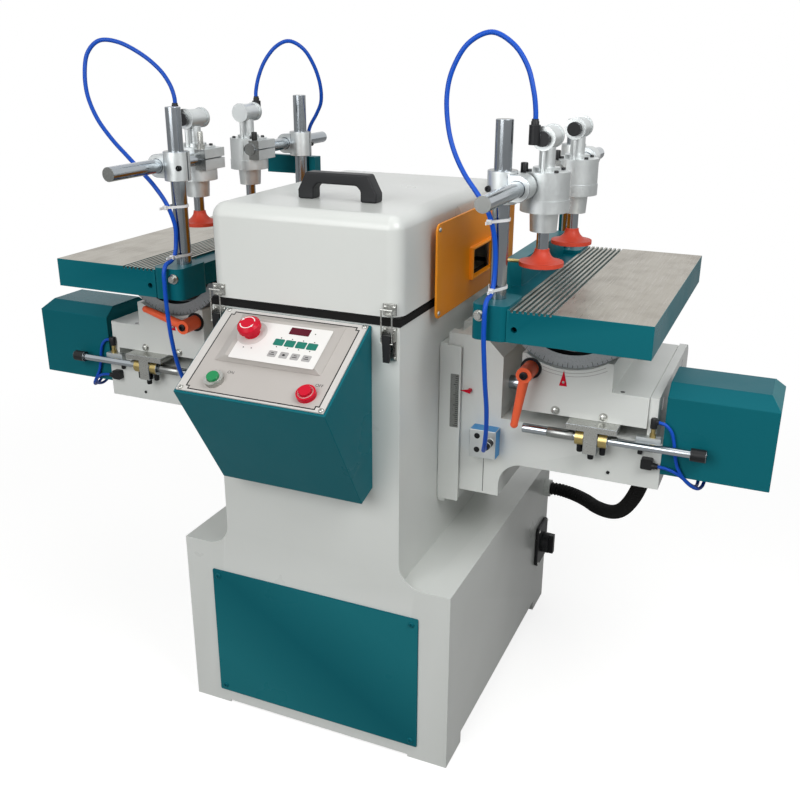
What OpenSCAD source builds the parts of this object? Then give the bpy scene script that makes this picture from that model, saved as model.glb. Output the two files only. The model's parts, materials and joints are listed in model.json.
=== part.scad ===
// Tenoning machine: a sheet-metal pedestal with a hinged cutter hood between two clamping tables.
// Millimetres, +Z up, -Y the operator's side. The origin lies on the floor under the pedestal's middle.

/* [Cabinet] */
// Width of the pedestal
base_w = 560; // [520:5:600]
// Depth of the pedestal
base_d = 668; // [640:2:700]
// Height of the pedestal's top above the floor
base_h = 373; // [350:1:390]
// Width of the column
column_w = 360; // [350:2:370]
// Depth of the column
column_d = 514; // [500:2:530]
// Height of the table tops above the column's rim
rim_drop = 28; // [24:1:34]
// Sheet thickness of the cabinet
sheet_t = 4; // [3:0.5:6]
// Height of the corner feet
foot_h = 25; // [18:1:30]
// Side of each square foot pad
foot_pad = 80; // [60:2:100]
// Radius of the anchor holes in the feet
anchor_r = 7; // [5:0.5:9]
// Width of the access panel
panel_w = 440; // [400:5:480]
// Height of the access panel
panel_h = 285; // [260:5:300]
// Sheet thickness of the access panel
panel_t = 3; // [2:0.5:4]

/* [Console] */
// Width of the console
console_w = 280; // [260:2:290]
// Length of the sloped control plate
plate_l = 197; // [185:1:210]
// Slope of the control plate in degrees
plate_tilt = 30.5; // [25:0.5:35]
// Thickness of the control plate
plate_t = 3; // [2:0.5:4]
// Length of the console's lower front wall
console_wall_l = 242; // [225:1:255]
// Radius of the start and stop buttons' rings
button_ring_r = 13; // [11:0.5:15]
// Radius of the emergency button's head
emergency_r = 20; // [17:0.5:24]

/* [Hood] */
// Height of the hood
hood_h = 163; // [155:1:175]
// Depth of the hood
hood_d = 509; // [495:1:520]
// Wall thickness of the hood
hood_t = 4; // [3:0.5:6]
// Radius of the hood's rounded edges
hood_r = 26; // [18:1:32]
// Thickness of the rubber seal under the hood
seal_t = 8; // [6:0.5:10]
// Length of the bridge handle
handle_l = 150; // [120:2:180]
// Height of the bridge handle
handle_h = 46; // [40:1:55]
// Thickness of the side guard plates
guard_t = 4; // [3:0.5:5]

/* [Spindle] */
// Radius of the spindle shaft
shaft_r = 15; // [12:0.5:18]
// Length of the spindle shaft
shaft_l = 332; // [310:2:336]
// Radius of the cutter heads
cutter_r = 38; // [32:1:44]
// Width of each cutter head
cutter_w = 44; // [36:1:50]
// Radius of both belt pulleys
pulley_r = 35; // [30:1:40]
// Height of the motor's axis above the floor
motor_z = 200; // [180:1:220]
// Radius of the motor's body
motor_r = 85; // [75:1:95]

/* [Knees] */
// Thickness of the slideway plate on the column
way_t = 15; // [12:0.5:18]
// Height of the slideway plate
way_h = 318; // [300:2:330]
// Width of each knee's upright
upright_w = 104; // [96:1:108]
// Depth of the knees
knee_d = 364; // [350:2:380]
// Height of each knee's arm
arm_h = 87; // [78:1:95]
// Radius of the guide rods
rod_r = 12.5; // [10:0.5:15]
// Length of the drive covers
cover_l = 179; // [150:1:200]

/* [Tables] */
// Distance of each table's turning axis from the middle plane
table_x = 458; // [450:1:470]
// Height of the table tops above the floor
table_top = 892; // [888:1:898]
// Thickness of the tables
table_t = 54; // [48:1:60]
// Width of the machined table top
table_w = 232; // [220:2:240]
// Length of the tables
table_l = 560; // [550:2:580]
// Radius of the round segments on which the tables tilt
turntable_r = 131; // [126:0.5:134]
// Length of the round segments
turntable_l = 280; // [260:2:296]
// Radius of the threaded holes in the table fronts
stop_hole_r = 5; // [4:0.5:6]

/* [Clamps] */
// Radius of the posts
post_r = 14; // [12:0.5:15]
// Height of the posts above the table top
post_h = 288; // [270:1:310]
// Height of the clamp bars above the table top
bar_rise = 185; // [180:1:205]
// Radius of the clamp bars
bar_r = 12.5; // [10:0.5:13]
// Length of the clamp bars
bar_l = 324; // [300:2:340]
// Radius of the air cylinders
cylinder_r = 39; // [36:0.5:41.5]
// Radius of the piston rods
piston_r = 10; // [7:0.5:11]
// Radius of the clamp feet
clamp_foot_r = 37; // [30:0.5:38]
// Height of the clamp feet above the table at rest
clamp_foot_rise = 52; // [51:1:60]

/* [Hidden] */
$fn = 48;
// Overrun of every cut
overrun = 1;
// Radial clearance of running fits
fit_gap = 0.05;
// Clearance between sliding or facing pieces
face_gap = 0.3;
// Gap under a plate that is screwed down on a sloped face
seat_gap = 0.01;

// Cabinet places
column_top = table_top - rim_drop;
front_y = -base_d / 2;
column_back_y = front_y + column_d;
column_x = column_w / 2;
web_r = 45;
skirt_gap = 5;
panel_z0 = foot_h + skirt_gap;
panel_lap = 25;
panel_r = 3;
bed_t = 12;
gland_r = 20;
gland_l = 14;
gland_y = 300;
gland_z = 310;
switch_y = 277;
switch_z = 178;
switch_size = [8, 80, 100];
knob_r = 24;
knob_l = 16;
knob_grip = [12, 14, 46];
knob_stem_r = 7;
knob_stem_l = 6;

// Console places
console_x = -10;
console_top_z = column_top - seal_t - overrun;
console_rise_y = plate_l * cos(plate_tilt);
console_rise_z = plate_l * sin(plate_tilt);
console_wall_tilt = 58.7;
console_margin = 4;
console_pocket_depth = 50;
console_pocket_margin = 26;
unit_base = [200, 111];
unit_top = [165, 87];
unit_h = 12;
unit_x = -9;
unit_v = 31;
unit_top_x = 5;
unit_top_v = -6;
emergency_x = -60;
emergency_v = 34;
emergency_neck_r = 14;
emergency_neck_h = 13;
emergency_head_h = 14;
emergency_travel = 6;
button_x = 85;
button_v = -66;
button_ring_t = 2.5;
button_cap_r = button_ring_r - button_ring_t;
button_ring_h = 9;
button_travel = 3;
button_cap_h = 13;
button_stem_r = 6;
button_stem_l = 24;

// Hood places
hood_z0 = column_top + seal_t;
hood_top = hood_z0 + hood_h;
hood_back_y = front_y + hood_d;
hood_corner_r = 12;
seal_w = 12;
hinge_back = 10;
hinge_y = column_back_y + hinge_back;
hinge_z = hood_z0 - seal_t / 2;
hinge_r = 7;
hinge_pin_r = 4;
hinge_x = 110;
hinge_leaf_w = 36;
hinge_leaf_t = 4;
hinge_leaf_h = 34;
hinge_knuckle_w = 18;
handle_x = 15;
handle_set = 118;
handle_y = front_y + handle_set;
handle_w = 28;
handle_leg_w = 30;
handle_shoulder = 16;
handle_bar_h = 19;
guard_gap = 12;
guard_x = column_x + guard_gap;
guard_y0 = -213;
guard_y1 = 225;
guard_drop = 24;
guard_top_gap = 30;
guard_z0 = column_top - guard_drop;
guard_z1 = hood_top - guard_top_gap;
guard_r = 14;
window_y0 = -45;
window_y1 = 75;
window_below = 12;
window_above = 40;
window_z0 = table_top - window_below;
window_z1 = table_top + window_above;
window_lip = 8;
guard_spacer_r = 9;
guard_spacer_front = 52;
guard_spacer_rear = 104;
notch_margin = 30;

// Latch places
latch_x = 163;
latch_w = 24;
latch_t = 3;
latch_drop = 64;
latch_z0 = column_top - latch_drop;
latch_plate_h = 56;
latch_ear_t = 2.5;
latch_ear_h = 16;
latch_axis_out = 9;
latch_axis_drop = 22;
latch_axis_y = front_y - latch_axis_out;
latch_axis_z = column_top - latch_axis_drop;
latch_pin_r = 2.5;
latch_ear_front = 3.5;
lever_w = 15;
lever_tip_w = 11;
lever_t = 5;
lever_drop = 42;
lever_top = 4;
bail_r = 1.5;
bail_leg_r = 1.3;
bail_x = 9.5;
bail_axis_out = 6;
bail_axis_drop = 10;
bail_top_rise = 16;
bail_axis_y = latch_axis_y - bail_axis_out;
bail_axis_z = latch_axis_z - bail_axis_drop;
bail_top_z = hood_z0 + bail_top_rise;
keeper_w = 24;
keeper_rise = 4;
keeper_z0 = hood_z0 + keeper_rise;
keeper_h = 20;
keeper_hook = 7;

// Spindle and motor places
spindle_rise = 13;
spindle_z = table_top + spindle_rise;
housing_h = 75;
housing_x0 = 52;
housing_x1 = 92;
housing_d = 120;
housing_cap_r = 40;
housing_foot_t = 18;
bed_z = spindle_z - housing_h;
pulley_w = 40;
pulley_flange_t = 4;
pulley_flange_h = 6;
belt_w = 30;
belt_t = 5;
cutter_x = shaft_l / 2 - cutter_w;
cutter_gullets = 4;
gullet_r = 15;
gullet_shift = 9;
motor_x0 = -230;
motor_x1 = -48;
motor_bore_l = 60;
motor_shaft_r = 12;
motor_foot_w = 150;
motor_foot_l = 140;
motor_fin_h = 6;
motor_fin_t = 4;
motor_fins = 6;
motor_fin_step = 18;
fan_cover_l = 36;

// Slideway and knee places, right side
way_drop = 402;
way_z0 = column_top - way_drop;
way_d = 298;
rail_y = 92;
rail_root_w = 46;
rail_tip_w = 62;
rail_h = 20;
rail_lap = 3;
way_x1 = column_x + way_t;
knee_x0 = way_x1 + face_gap;
upright_x1 = knee_x0 + upright_w;
upright_cham = 34;
knee_y0 = -144;
knee_y1 = knee_y0 + knee_d;
saddle_drop = 217;
saddle_z0 = table_top - saddle_drop;
arm_gap = 25;
arm_z1 = saddle_z0 - arm_gap;
arm_z0 = arm_z1 - arm_h;
knee_foot_drop = 70;
upright_rise = 125;
arm_reach = 130;
knee_foot_z = arm_z0 - knee_foot_drop;
upright_top = saddle_z0 + upright_rise;
arm_x1 = table_x + arm_reach;
arch_r = 45;
arm_wall = 18;
arm_pocket_in = 22;
arm_pocket_out = 66;
arm_roof_t = 20;
end_plate_set = 28;
arm_pocket_x0 = upright_x1 + arm_pocket_in;
arm_pocket_x1 = arm_x1 - arm_pocket_out;
arm_pocket_h = arm_h - arm_roof_t;
end_plate_x0 = arm_x1 - end_plate_set;
end_plate_t = 15;
end_plate_h = 80;
end_plate_r = 30;
rod_y_front = -95;
rod_y_rear = 130;
rod_rise = 30;
rod_z = saddle_z0 + rod_rise;
rod_seat = 18;
rod_l = end_plate_x0 + end_plate_t - upright_x1 + rod_seat;
feed_r = 30;
feed_l = 150;
feed_y = -74;
feed_drop = 10;
feed_z = arm_z1 - feed_drop;
cover_t = 3;
cover_d = 140;
cover_foot = 30;
cover_rise = 105;
cover_y1 = knee_y0 + cover_d;
cover_z0 = arm_z0 + cover_foot;
cover_z1 = arm_z1 + cover_rise;
cover_bevel_y = 25;
cover_bevel_z = 20;
cover_bevel_x = 18;
block_size = [50, 28, 55];
block_rise = 14;
block_x0 = upright_x1 - block_size[0];
block_z0 = arm_z0 + block_rise;
port_r = 7;
port_l = 18;
port_x = 40;
port_z = 34;

// Saddle places, right side: a slab on the guide rods and a cradle for the table's round segment
tilt_in = 44;
tilt_x = table_x - tilt_in;
saddle_in = 123;
saddle_x0 = table_x - saddle_in;
saddle_x1 = end_plate_x0 - 2 * face_gap;
saddle_y0 = -150;
saddle_y1 = 180;
slab_h = 56;
cradle_h = 107;
cradle_w = 161;
lever_axis_in = 17;
lever_axis_rise = 81;
lever_axis_x = saddle_x0 + lever_axis_in;
lever_axis_z = saddle_z0 + lever_axis_rise;
lever_pin_r = 6;
lever_pin_l = 40;
lever_hub_r = 14;
lever_hub_l = 46;
lever_arm_l = 97;
lever_arm_r0 = 9.5;
lever_arm_r1 = 6.5;
lever_ball_r = 7;
lever_angle_right = -9;
lever_angle_left = 105;

// Stop rod places, right side
stop_y = -165;
stop_drop = 27;
stop_in = 111;
stop_out = 62;
stop_z = saddle_z0 - stop_drop;
stop_r = 7;
stop_stub_r = 8.5;
stop_stub_l = 45;
stop_x0 = table_x - stop_in;
stop_x1 = arm_x1 + stop_out;
stop_lug_out = 1;
stop_lug_x = table_x + stop_lug_out;
stop_lug_t = 24;
stop_lug_w = 30;
stop_lug_drop = 52;
stop_flange = [89, 96, 11];
collar_r = 14;
collar_l = 16;
stop_knob_r = 11;
stop_knob_l = 26;

// Table places, right side
strip_w = 44;
strip_step = 4;
strip_t = 42;
boss_w = 62;
boss_in = 27.5;
boss_l = 88;
boss_r = 14;
boss_rise = 5;
post_in = 148;
post_inset = 50;
post_x = table_x - post_in;
post_y = table_l / 2 - post_inset;
boss_front = 54;
rib_t = 12;
table_wall = 16;
table_pad = 6;
table_deck = 26;
segment_ring_t = 24;
segment_recess = 22;
segment_half_w = sqrt(turntable_r * turntable_r - table_t * table_t);
groove_n = 8;
groove_w = 4;
groove_pitch = 9;
groove_depth = 4;
groove_in = 6;
groove_x0 = table_x - table_w / 2 + groove_in;
stop_hole_in = 103;
stop_hole_x = table_x - stop_hole_in;
stop_hole_l = 25;
stop_hole_drop = 32;
fence_in = 173;
fence_x0 = table_x - fence_in;
fence_t = 28;
fence_front_in = 175;
fence_back_in = 40;
fence_front = table_l / 2 - fence_front_in;
fence_back = post_y - fence_back_in;
fence_rise = 44;
fence_post_t = 15;
fence_post_d = 28;
fence_edge = 4;
fence_bar_left = 130;
fence_bar_right = 65;
fence_bar_t = 18;
fence_bar_h = 40;
fence_bar_rise = 114;
fence_y1 = table_l / 2 - fence_edge;

// Clamp places, right side
bar_in = 118;
cylinder_in = 94;
bar_x = table_x - bar_in;
cylinder_x = table_x - cylinder_in;
bar_z = table_top + bar_rise;
block_r = 24;
block_half_d = 19.5;
block_h = 52;
bar_boss_r = 21;
slit_w = 2.5;
body_drop = 24;
body_z0 = bar_z - body_drop;
body_h = 45;
flange_lip = 1;
flange_r = cylinder_r + flange_lip;
flange_h = 19;
nose_r0 = 22;
nose_r1 = 24;
nose_h = 33;
lug_w = 46;
lug_half_d = 33;
lug_margin = 3;
neck_r0 = 22;
neck_r1 = 13;
neck_h0 = 6;
neck_h = 38;
head_r = 17;
head_l = 58;
head_rise = 73;
head_z = bar_z + head_rise;
ring_r = 19;
ring_t = 6;
elbow_r = 12;
elbow_sink = 8;
elbow_out = 10;
elbow_shift = 12;
elbow_port_r = 9;
elbow_port_h = 21;
side_rod_r = 4;
side_rod_gap = 5;
piston_top = 30;
piston_depth = 36;
foot_rim_h = 7;
foot_h_clamp = 28;
foot_neck_r = 12;
stud_r = 3;
stud_l = 24;
rear_post_drop = 30;
// Places of the four cylinders along the tables, and how far the right front bar stands out behind its lug
right_front_in = 61;
left_front_in = 136;
left_rear_in = 130;
right_clamp_step = 204;
right_front_y = right_front_in - post_y;
left_front_y = left_front_in - post_y;
right_rear_y = right_front_y + right_clamp_step;
left_rear_y = post_y - left_rear_in;
right_front_bar_back = 45;

// Air tubes and conduit: routes chosen by hand, between the fittings they join
tube_r = 4;
tube_sides = 8;
tube_steps = 2;
right_front_route = [
    [352, -208, 1171], [352, -208, 1190], [347, -207, 1220], [334, -204, 1257], [310, -203, 1288],
    [275, -206, 1305], [240, -214, 1288], [218, -220, 1250], [211, -224, 1210], [216, -228, 1165],
    [230, -236, 1128], [252, -246, 1095], [277, -255, 1068], [297, -259, 1042], [307, -254, 1008],
    [310, -250, 970], [310, -251, 940], [310, -257, 919], [310, -270, 909], [310, -286, 905],
    [310, -294, 892], [310, -295, 870], [310, -295, 845], [311, -291, 805], [311, -281, 760],
    [310, -266, 715], [306, -250, 672], [299, -233, 635], [291, -214, 613], [289, -203, 611],
    [289, -190, 611]];
left_front_route = [
    [-376, -133, 1171], [-376, -133, 1190], [-384, -134, 1214], [-402, -138, 1240], [-435, -144, 1266],
    [-478, -153, 1287], [-513, -166, 1290], [-532, -180, 1268], [-535, -190, 1232], [-525, -200, 1192],
    [-500, -209, 1152], [-462, -219, 1117], [-420, -232, 1090], [-378, -248, 1066], [-342, -259, 1042],
    [-320, -256, 1010], [-310, -250, 972], [-310, -251, 940], [-310, -257, 919], [-310, -270, 909],
    [-310, -286, 905], [-310, -294, 892], [-310, -295, 870], [-310, -295, 845], [-309, -294, 805],
    [-307, -291, 760], [-303, -285, 715], [-298, -272, 672], [-293, -250, 638], [-290, -222, 615],
    [-289, -204, 611], [-289, -190, 611]];
left_rear_route = [
    [-364, 139, 1171], [-364, 139, 1190], [-358, 143, 1220], [-345, 150, 1252], [-323, 160, 1280],
    [-297, 172, 1291], [-272, 188, 1275], [-257, 204, 1242], [-252, 220, 1204], [-260, 238, 1168],
    [-280, 253, 1140], [-301, 260, 1112], [-310, 258, 1080]];
conduit_route = [
    [294, 300, 310], [320, 300, 310], [352, 290, 310], [385, 264, 314], [415, 226, 322],
    [445, 180, 340], [472, 130, 366], [496, 80, 400], [517, 34, 442], [534, 0, 486], [545, -22, 528],
    [545, -22, 549]];
// Directions that no route takes, from which the tubes' rings are turned
left_front_side = [0.35, 1, 0.1];
left_rear_side = [-0.8, -0.6, 0.1];
right_front_side = [-0.4, 1, 0.1];
conduit_side = [0.8, 0.6, -0.1];
conduit_r = 15;
conduit_bore_r = 11;
conduit_rib = 1.8;
conduit_ribs = 70;

white_paint = "#e6e6e2";
teal_paint = "#0d6a72";
steel = "#b9bcbe";
chrome_steel = "#d0d3d6";
black_plastic = "#1c1c1e";
orange_paint = "#d8771c";
alloy = "#c8cac9";
plate_grey = "#b5b2ad";
signal_red = "#c8201f";

// Shared shapes

// A plate with rounded corners in the XY plane, from one corner
module rounded_plate(size, r, h) {
    linear_extrude(h) rounded_square(size, r);
}

module rounded_square(size, r) {
    translate([r, 0]) square([size[0] - 2 * r, size[1]]);
    translate([0, r]) square([size[0], size[1] - 2 * r]);
    for (x = [r, size[0] - r], y = [r, size[1] - r])
        translate([x, y]) circle(r);
}

// Turns a piece that is drawn up +Z so that it runs along +X or along +Y
module along_x() {
    rotate([0, 90, 0]) children();
}

module along_y() {
    rotate([-90, 0, 0]) children();
}

// Turns an outline in (y, z) so that it is extruded along +X
module yz_extrude(l) {
    rotate([90, 0, 90]) linear_extrude(l) children();
}

// Turns an outline in (x, z) so that it is extruded along +Y from y0
module xz_extrude(y0, l) {
    translate([0, y0 + l, 0]) rotate([90, 0, 0]) linear_extrude(l) children();
}

module for_side(s) {
    mirror([s < 0 ? 1 : 0, 0, 0]) children();
}

// Frame of the sloped control plate: X across, Y up the slope, Z out of the plate
module on_console() {
    translate([0, front_y - console_rise_y / 2, console_top_z - console_rise_z / 2])
        rotate([plate_tilt, 0, 0]) translate([0, 0, seat_gap]) children();
}

// Points of a smooth curve through a route, and a round tube swept along it
function unit_of(v) = v / norm(v);
function curve_at(a, b, c, d, t) = 0.5 * (2 * b + (c - a) * t + (2 * a - 5 * b + 4 * c - d) * t * t
    + (3 * b - a - 3 * c + d) * t * t * t);
function route_point(p, u) = let (n = len(p), i = min(floor(u), n - 2))
    curve_at(i > 0 ? p[i - 1] : 2 * p[0] - p[1], p[i], p[i + 1],
        i < n - 2 ? p[i + 2] : 2 * p[n - 1] - p[n - 2], u - i);
function route_curve(p, count) = [for (k = [0 : count]) route_point(p, k * (len(p) - 1) / count)];
function route_ends(p) = [p[1] - p[0], p[len(p) - 1] - p[len(p) - 2]];
function tangent_at(c, k, ends) =
    unit_of(k == 0 ? ends[0] : k == len(c) - 1 ? ends[1] : c[k + 1] - c[k - 1]);
function ring_at(c, k, r, side, n, ends) =
    let (t = tangent_at(c, k, ends), a = unit_of(cross(side, t)), b = cross(t, a))
    [for (j = [0 : n - 1]) c[k] + r * (cos(360 * j / n) * a + sin(360 * j / n) * b)];
function skin_faces(rings, n, first, flip) = [for (i = [0 : rings - 2], j = [0 : n - 1], half = [0, 1])
    let (a = first + i * n + j, b = first + i * n + (j + 1) % n, c = b + n, d = a + n)
    let (f = half == 0 ? [a, d, c] : [a, c, b]) flip ? [f[2], f[1], f[0]] : f];

module round_tube(route, r, side, n) {
    c = route_curve(route, tube_steps * (len(route) - 1));
    m = len(c);
    ends = route_ends(route);
    points = [for (k = [0 : m - 1], q = ring_at(c, k, r, side, n, ends)) q];
    polyhedron(points, concat(skin_faces(m, n, 0, false), [[for (j = [0 : n - 1]) j]],
        [[for (j = [n - 1 : -1 : 0]) (m - 1) * n + j]]));
}

// A ribbed hose with its bore: two rings a rib outside, the same rings plain inside
module ribbed_hose(route, r, bore_r, rib, ribs, side, n) {
    c = route_curve(route, 2 * ribs);
    m = len(c);
    ends = route_ends(route);
    outer = [for (k = [0 : m - 1], q = ring_at(c, k, k % 2 == 0 ? r - rib : r, side, n, ends)) q];
    inner = [for (k = [0 : m - 1], q = ring_at(c, k, bore_r, side, n, ends)) q];
    polyhedron(concat(outer, inner), concat(skin_faces(m, n, 0, false), skin_faces(m, n, m * n, true),
        [for (j = [0 : n - 1], half = [0, 1])
            let (a = j, b = (j + 1) % n, c2 = m * n + b, d = m * n + a)
            half == 0 ? [a, b, c2] : [a, c2, d]],
        [for (j = [0 : n - 1], half = [0, 1])
            let (e = (m - 1) * n, a = e + j, b = e + (j + 1) % n, c2 = m * n + b, d = m * n + a)
            half == 0 ? [c2, b, a] : [d, c2, a]]));
}

// Pedestal

module foot_places() {
    for (x = [-1, 1], y = [-1, 1])
        translate([x * (base_w - foot_pad) / 2, y * (base_d - foot_pad) / 2, 0]) children();
}

module front_web(s) {
    for_side(s)
        translate([column_x, front_y + sheet_t, base_h]) rotate([90, 0, 0]) linear_extrude(sheet_t)
            difference() {
                translate([-sheet_t, -sheet_t]) square(web_r + sheet_t);
                translate([web_r, web_r]) circle(web_r);
            }
}

module base_cabinet() {
    inner_x = column_x - sheet_t;
    color(white_paint) {
        difference() {
            union() {
                translate([-base_w / 2, front_y, foot_h]) cube([base_w, base_d, base_h - foot_h]);
                translate([-column_x, front_y, base_h - sheet_t])
                    cube([column_w, column_d, column_top - base_h + sheet_t]);
                front_web(-1);
                front_web(1);
                foot_places()
                    translate([-foot_pad / 2, -foot_pad / 2, 0]) cube([foot_pad, foot_pad, foot_h + sheet_t]);
                translate([foot_pad - base_w / 2, front_y, skirt_gap])
                    cube([base_w - 2 * foot_pad, sheet_t, foot_h]);
                translate([base_w / 2, gland_y, gland_z]) along_x() cylinder(r = gland_r, h = gland_l);
            }
            translate([sheet_t - base_w / 2, front_y + sheet_t, foot_h + sheet_t])
                cube([base_w - 2 * sheet_t, base_d - 2 * sheet_t, base_h - foot_h - 2 * sheet_t]);
            translate([-inner_x, front_y + sheet_t, base_h - 2 * sheet_t])
                cube([2 * inner_x, column_d - 2 * sheet_t, column_top - base_h + 3 * sheet_t]);
            translate([panel_lap - panel_w / 2, front_y - overrun, panel_z0 + panel_lap])
                cube([panel_w - 2 * panel_lap, sheet_t + 2 * overrun, panel_h - 2 * panel_lap]);
            foot_places()
                translate([0, 0, -overrun]) cylinder(r = anchor_r, h = foot_h + sheet_t + 2 * overrun);
            translate([base_w / 2 - sheet_t - overrun, gland_y, gland_z]) along_x()
                cylinder(r = conduit_bore_r, h = gland_l + sheet_t + 2 * overrun);
            translate([base_w / 2 - sheet_t - overrun, switch_y, switch_z]) along_x()
                cylinder(r = knob_stem_r, h = sheet_t + 2 * overrun);
        }
        difference() {
            translate([-inner_x - sheet_t / 2, front_y + sheet_t / 2, bed_z - bed_t])
                cube([2 * inner_x + sheet_t, column_d - sheet_t, bed_t]);
            translate([-pulley_w, -2 * pulley_r, bed_z - bed_t - overrun])
                cube([2 * pulley_w, 4 * pulley_r, bed_t + 2 * overrun]);
        }
    }
}

module access_panel() {
    color(teal_paint)
        translate([-panel_w / 2, front_y, panel_z0]) rotate([90, 0, 0])
            rounded_plate([panel_w, panel_h], panel_r, panel_t);
}

// Console

module console_profile() {
    wall_y = console_wall_l * cos(console_wall_tilt);
    wall_z = console_wall_l * sin(console_wall_tilt);
    tip_y = front_y - console_rise_y;
    tip_z = console_top_z - console_rise_z;
    polygon([[front_y, console_top_z], [tip_y, tip_z], [tip_y + wall_y, tip_z - wall_z],
        [front_y, tip_z - wall_z + hood_corner_r]]);
}

module console_box() {
    color(teal_paint)
        difference() {
            translate([console_x - console_w / 2, 0, 0]) yz_extrude(console_w) console_profile();
            on_console()
                translate([console_x + console_pocket_margin - console_w / 2,
                    console_pocket_margin - plate_l / 2, -console_pocket_depth])
                    cube([console_w - 2 * console_pocket_margin, plate_l - 2 * console_pocket_margin,
                        console_pocket_depth + overrun]);
        }
}

module console_button_holes(h) {
    for (x = [-button_x, button_x])
        translate([x, button_v, -h]) cylinder(r = button_stem_r + fit_gap, h = 2 * h);
    translate([emergency_x, emergency_v, -h]) cylinder(r = emergency_neck_r + fit_gap, h = 2 * h);
}

module console_plate() {
    color(plate_grey)
        on_console()
            difference() {
                union() {
                    translate([console_x + console_margin - console_w / 2, console_margin - plate_l / 2, 0])
                        cube([console_w - 2 * console_margin, plate_l - 2 * console_margin, plate_t]);
                    for (x = [-button_x, button_x])
                        translate([x, button_v, plate_t]) difference() {
                            cylinder(r = button_ring_r, h = button_ring_h);
                            translate([0, 0, -overrun])
                                cylinder(r = button_cap_r + face_gap, h = button_ring_h + 2 * overrun);
                        }
                }
                console_button_holes(unit_h);
            }
}

module control_unit() {
    corners = [[-1, -1], [1, -1], [1, 1], [-1, 1]];
    base = [for (c = corners) [c[0] * unit_base[0] / 2, c[1] * unit_base[1] / 2, 0]];
    top = [for (c = corners)
        [unit_top_x + c[0] * unit_top[0] / 2, unit_top_v + c[1] * unit_top[1] / 2, unit_h]];
    color(plate_grey)
        on_console()
            translate([unit_x, unit_v, plate_t]) difference() {
                polyhedron(concat(base, top),
                    [[0, 1, 2, 3], [7, 6, 5, 4], [0, 4, 5, 1], [1, 5, 6, 2], [2, 6, 7, 3], [3, 7, 4, 0]]);
                translate([emergency_x - unit_x, emergency_v - unit_v, -overrun])
                    cylinder(r = emergency_neck_r + fit_gap, h = unit_h + 2 * overrun);
            }
}

module push_button(x, tint) {
    color(tint)
        on_console()
            translate([x, button_v, plate_t]) {
                translate([0, 0, button_travel + face_gap])
                    cylinder(r = button_cap_r, h = button_cap_h - button_travel);
                translate([0, 0, -button_stem_l])
                    cylinder(r = button_stem_r, h = button_stem_l + button_travel + 2 * face_gap);
            }
}

module start_button() {
    push_button(-button_x, "#1f9a4a");
}

module stop_button() {
    push_button(button_x, signal_red);
}

module emergency_button() {
    color(signal_red)
        on_console()
            translate([emergency_x, emergency_v, plate_t]) {
                translate([0, 0, -button_stem_l])
                    cylinder(r = emergency_neck_r, h = button_stem_l + unit_h + emergency_neck_h);
                translate([0, 0, unit_h + emergency_neck_h - overrun])
                    rotate_extrude()
                        difference() {
                            square([emergency_r, emergency_head_h]);
                            translate([emergency_r, emergency_head_h])
                                rotate([0, 0, 45]) square(emergency_head_h / 2, center = true);
                        }
            }
}

module power_switch_plate() {
    color(black_plastic)
        difference() {
            translate([base_w / 2, switch_y - switch_size[1] / 2, switch_z - switch_size[2] / 2])
                rotate([90, 0, 90])
                    rounded_plate([switch_size[1], switch_size[2]], hood_corner_r, switch_size[0]);
            translate([base_w / 2 - overrun, switch_y, switch_z]) along_x()
                cylinder(r = knob_stem_r + fit_gap, h = switch_size[0] + 2 * overrun);
        }
}

module power_switch_knob() {
    knob_x = base_w / 2 + switch_size[0] + face_gap;
    color(black_plastic)
        translate([knob_x, switch_y, switch_z]) {
            along_x() translate([0, 0, -knob_stem_l - face_gap])
                cylinder(r = knob_stem_r, h = knob_stem_l + knob_l);
            along_x() cylinder(r = knob_r, h = knob_l);
            translate([knob_l - overrun, -knob_grip[1] / 2, -knob_grip[2] / 2]) cube(knob_grip);
        }
}

// Hood

module hood_block(x, y0, y1, z0, z1, r) {
    hull() {
        for (sx = [-1, 1], y = [y0 + r, y1 - r]) {
            translate([sx * (x - r), y, z1 - r]) sphere(r, $fn = 32);
            translate([sx * (x - r), y, z0]) cylinder(r = r, h = z1 - z0 - 2 * r, $fn = 32);
        }
    }
}

module hood_leaf(x) {
    translate([x - hinge_leaf_w / 2, 0, 0]) yz_extrude(hinge_leaf_w)
        polygon([[hood_back_y - overrun, hinge_z + hinge_leaf_h],
            [hood_back_y - overrun, hood_z0 + hinge_leaf_t],
            [hinge_y - hinge_r, hood_z0 + hinge_leaf_t / 2], [hinge_y - hinge_r, hinge_z],
            [hinge_y + hinge_r, hinge_z], [hinge_y, hinge_z + hinge_r],
            [hood_back_y + hinge_leaf_t, hinge_z + 2 * hinge_r],
            [hood_back_y + hinge_leaf_t, hinge_z + hinge_leaf_h]]);
    translate([x - hinge_leaf_w / 2, hinge_y, hinge_z]) along_x() cylinder(r = hinge_r, h = hinge_leaf_w);
}

module hood_shell() {
    color(white_paint)
        difference() {
            union() {
                difference() {
                    hood_block(column_x, front_y, hood_back_y, hood_z0, hood_top, hood_r);
                    hood_block(column_x - hood_t, front_y + hood_t, hood_back_y - hood_t, hood_z0 - overrun,
                        hood_top - hood_t, hood_r - hood_t);
                }
                for (x = [-hinge_x, hinge_x])
                    hood_leaf(x);
            }
            translate([-column_w, window_y0 - notch_margin, hood_z0 - overrun])
                cube([2 * column_w, window_y1 - window_y0 + 2 * notch_margin,
                    window_z1 - hood_z0 + notch_margin]);
            for (x = [-hinge_x, hinge_x])
                translate([x - hinge_leaf_w, hinge_y, hinge_z]) along_x()
                    cylinder(r = hinge_pin_r + fit_gap, h = 2 * hinge_leaf_w);
        }
}

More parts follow.
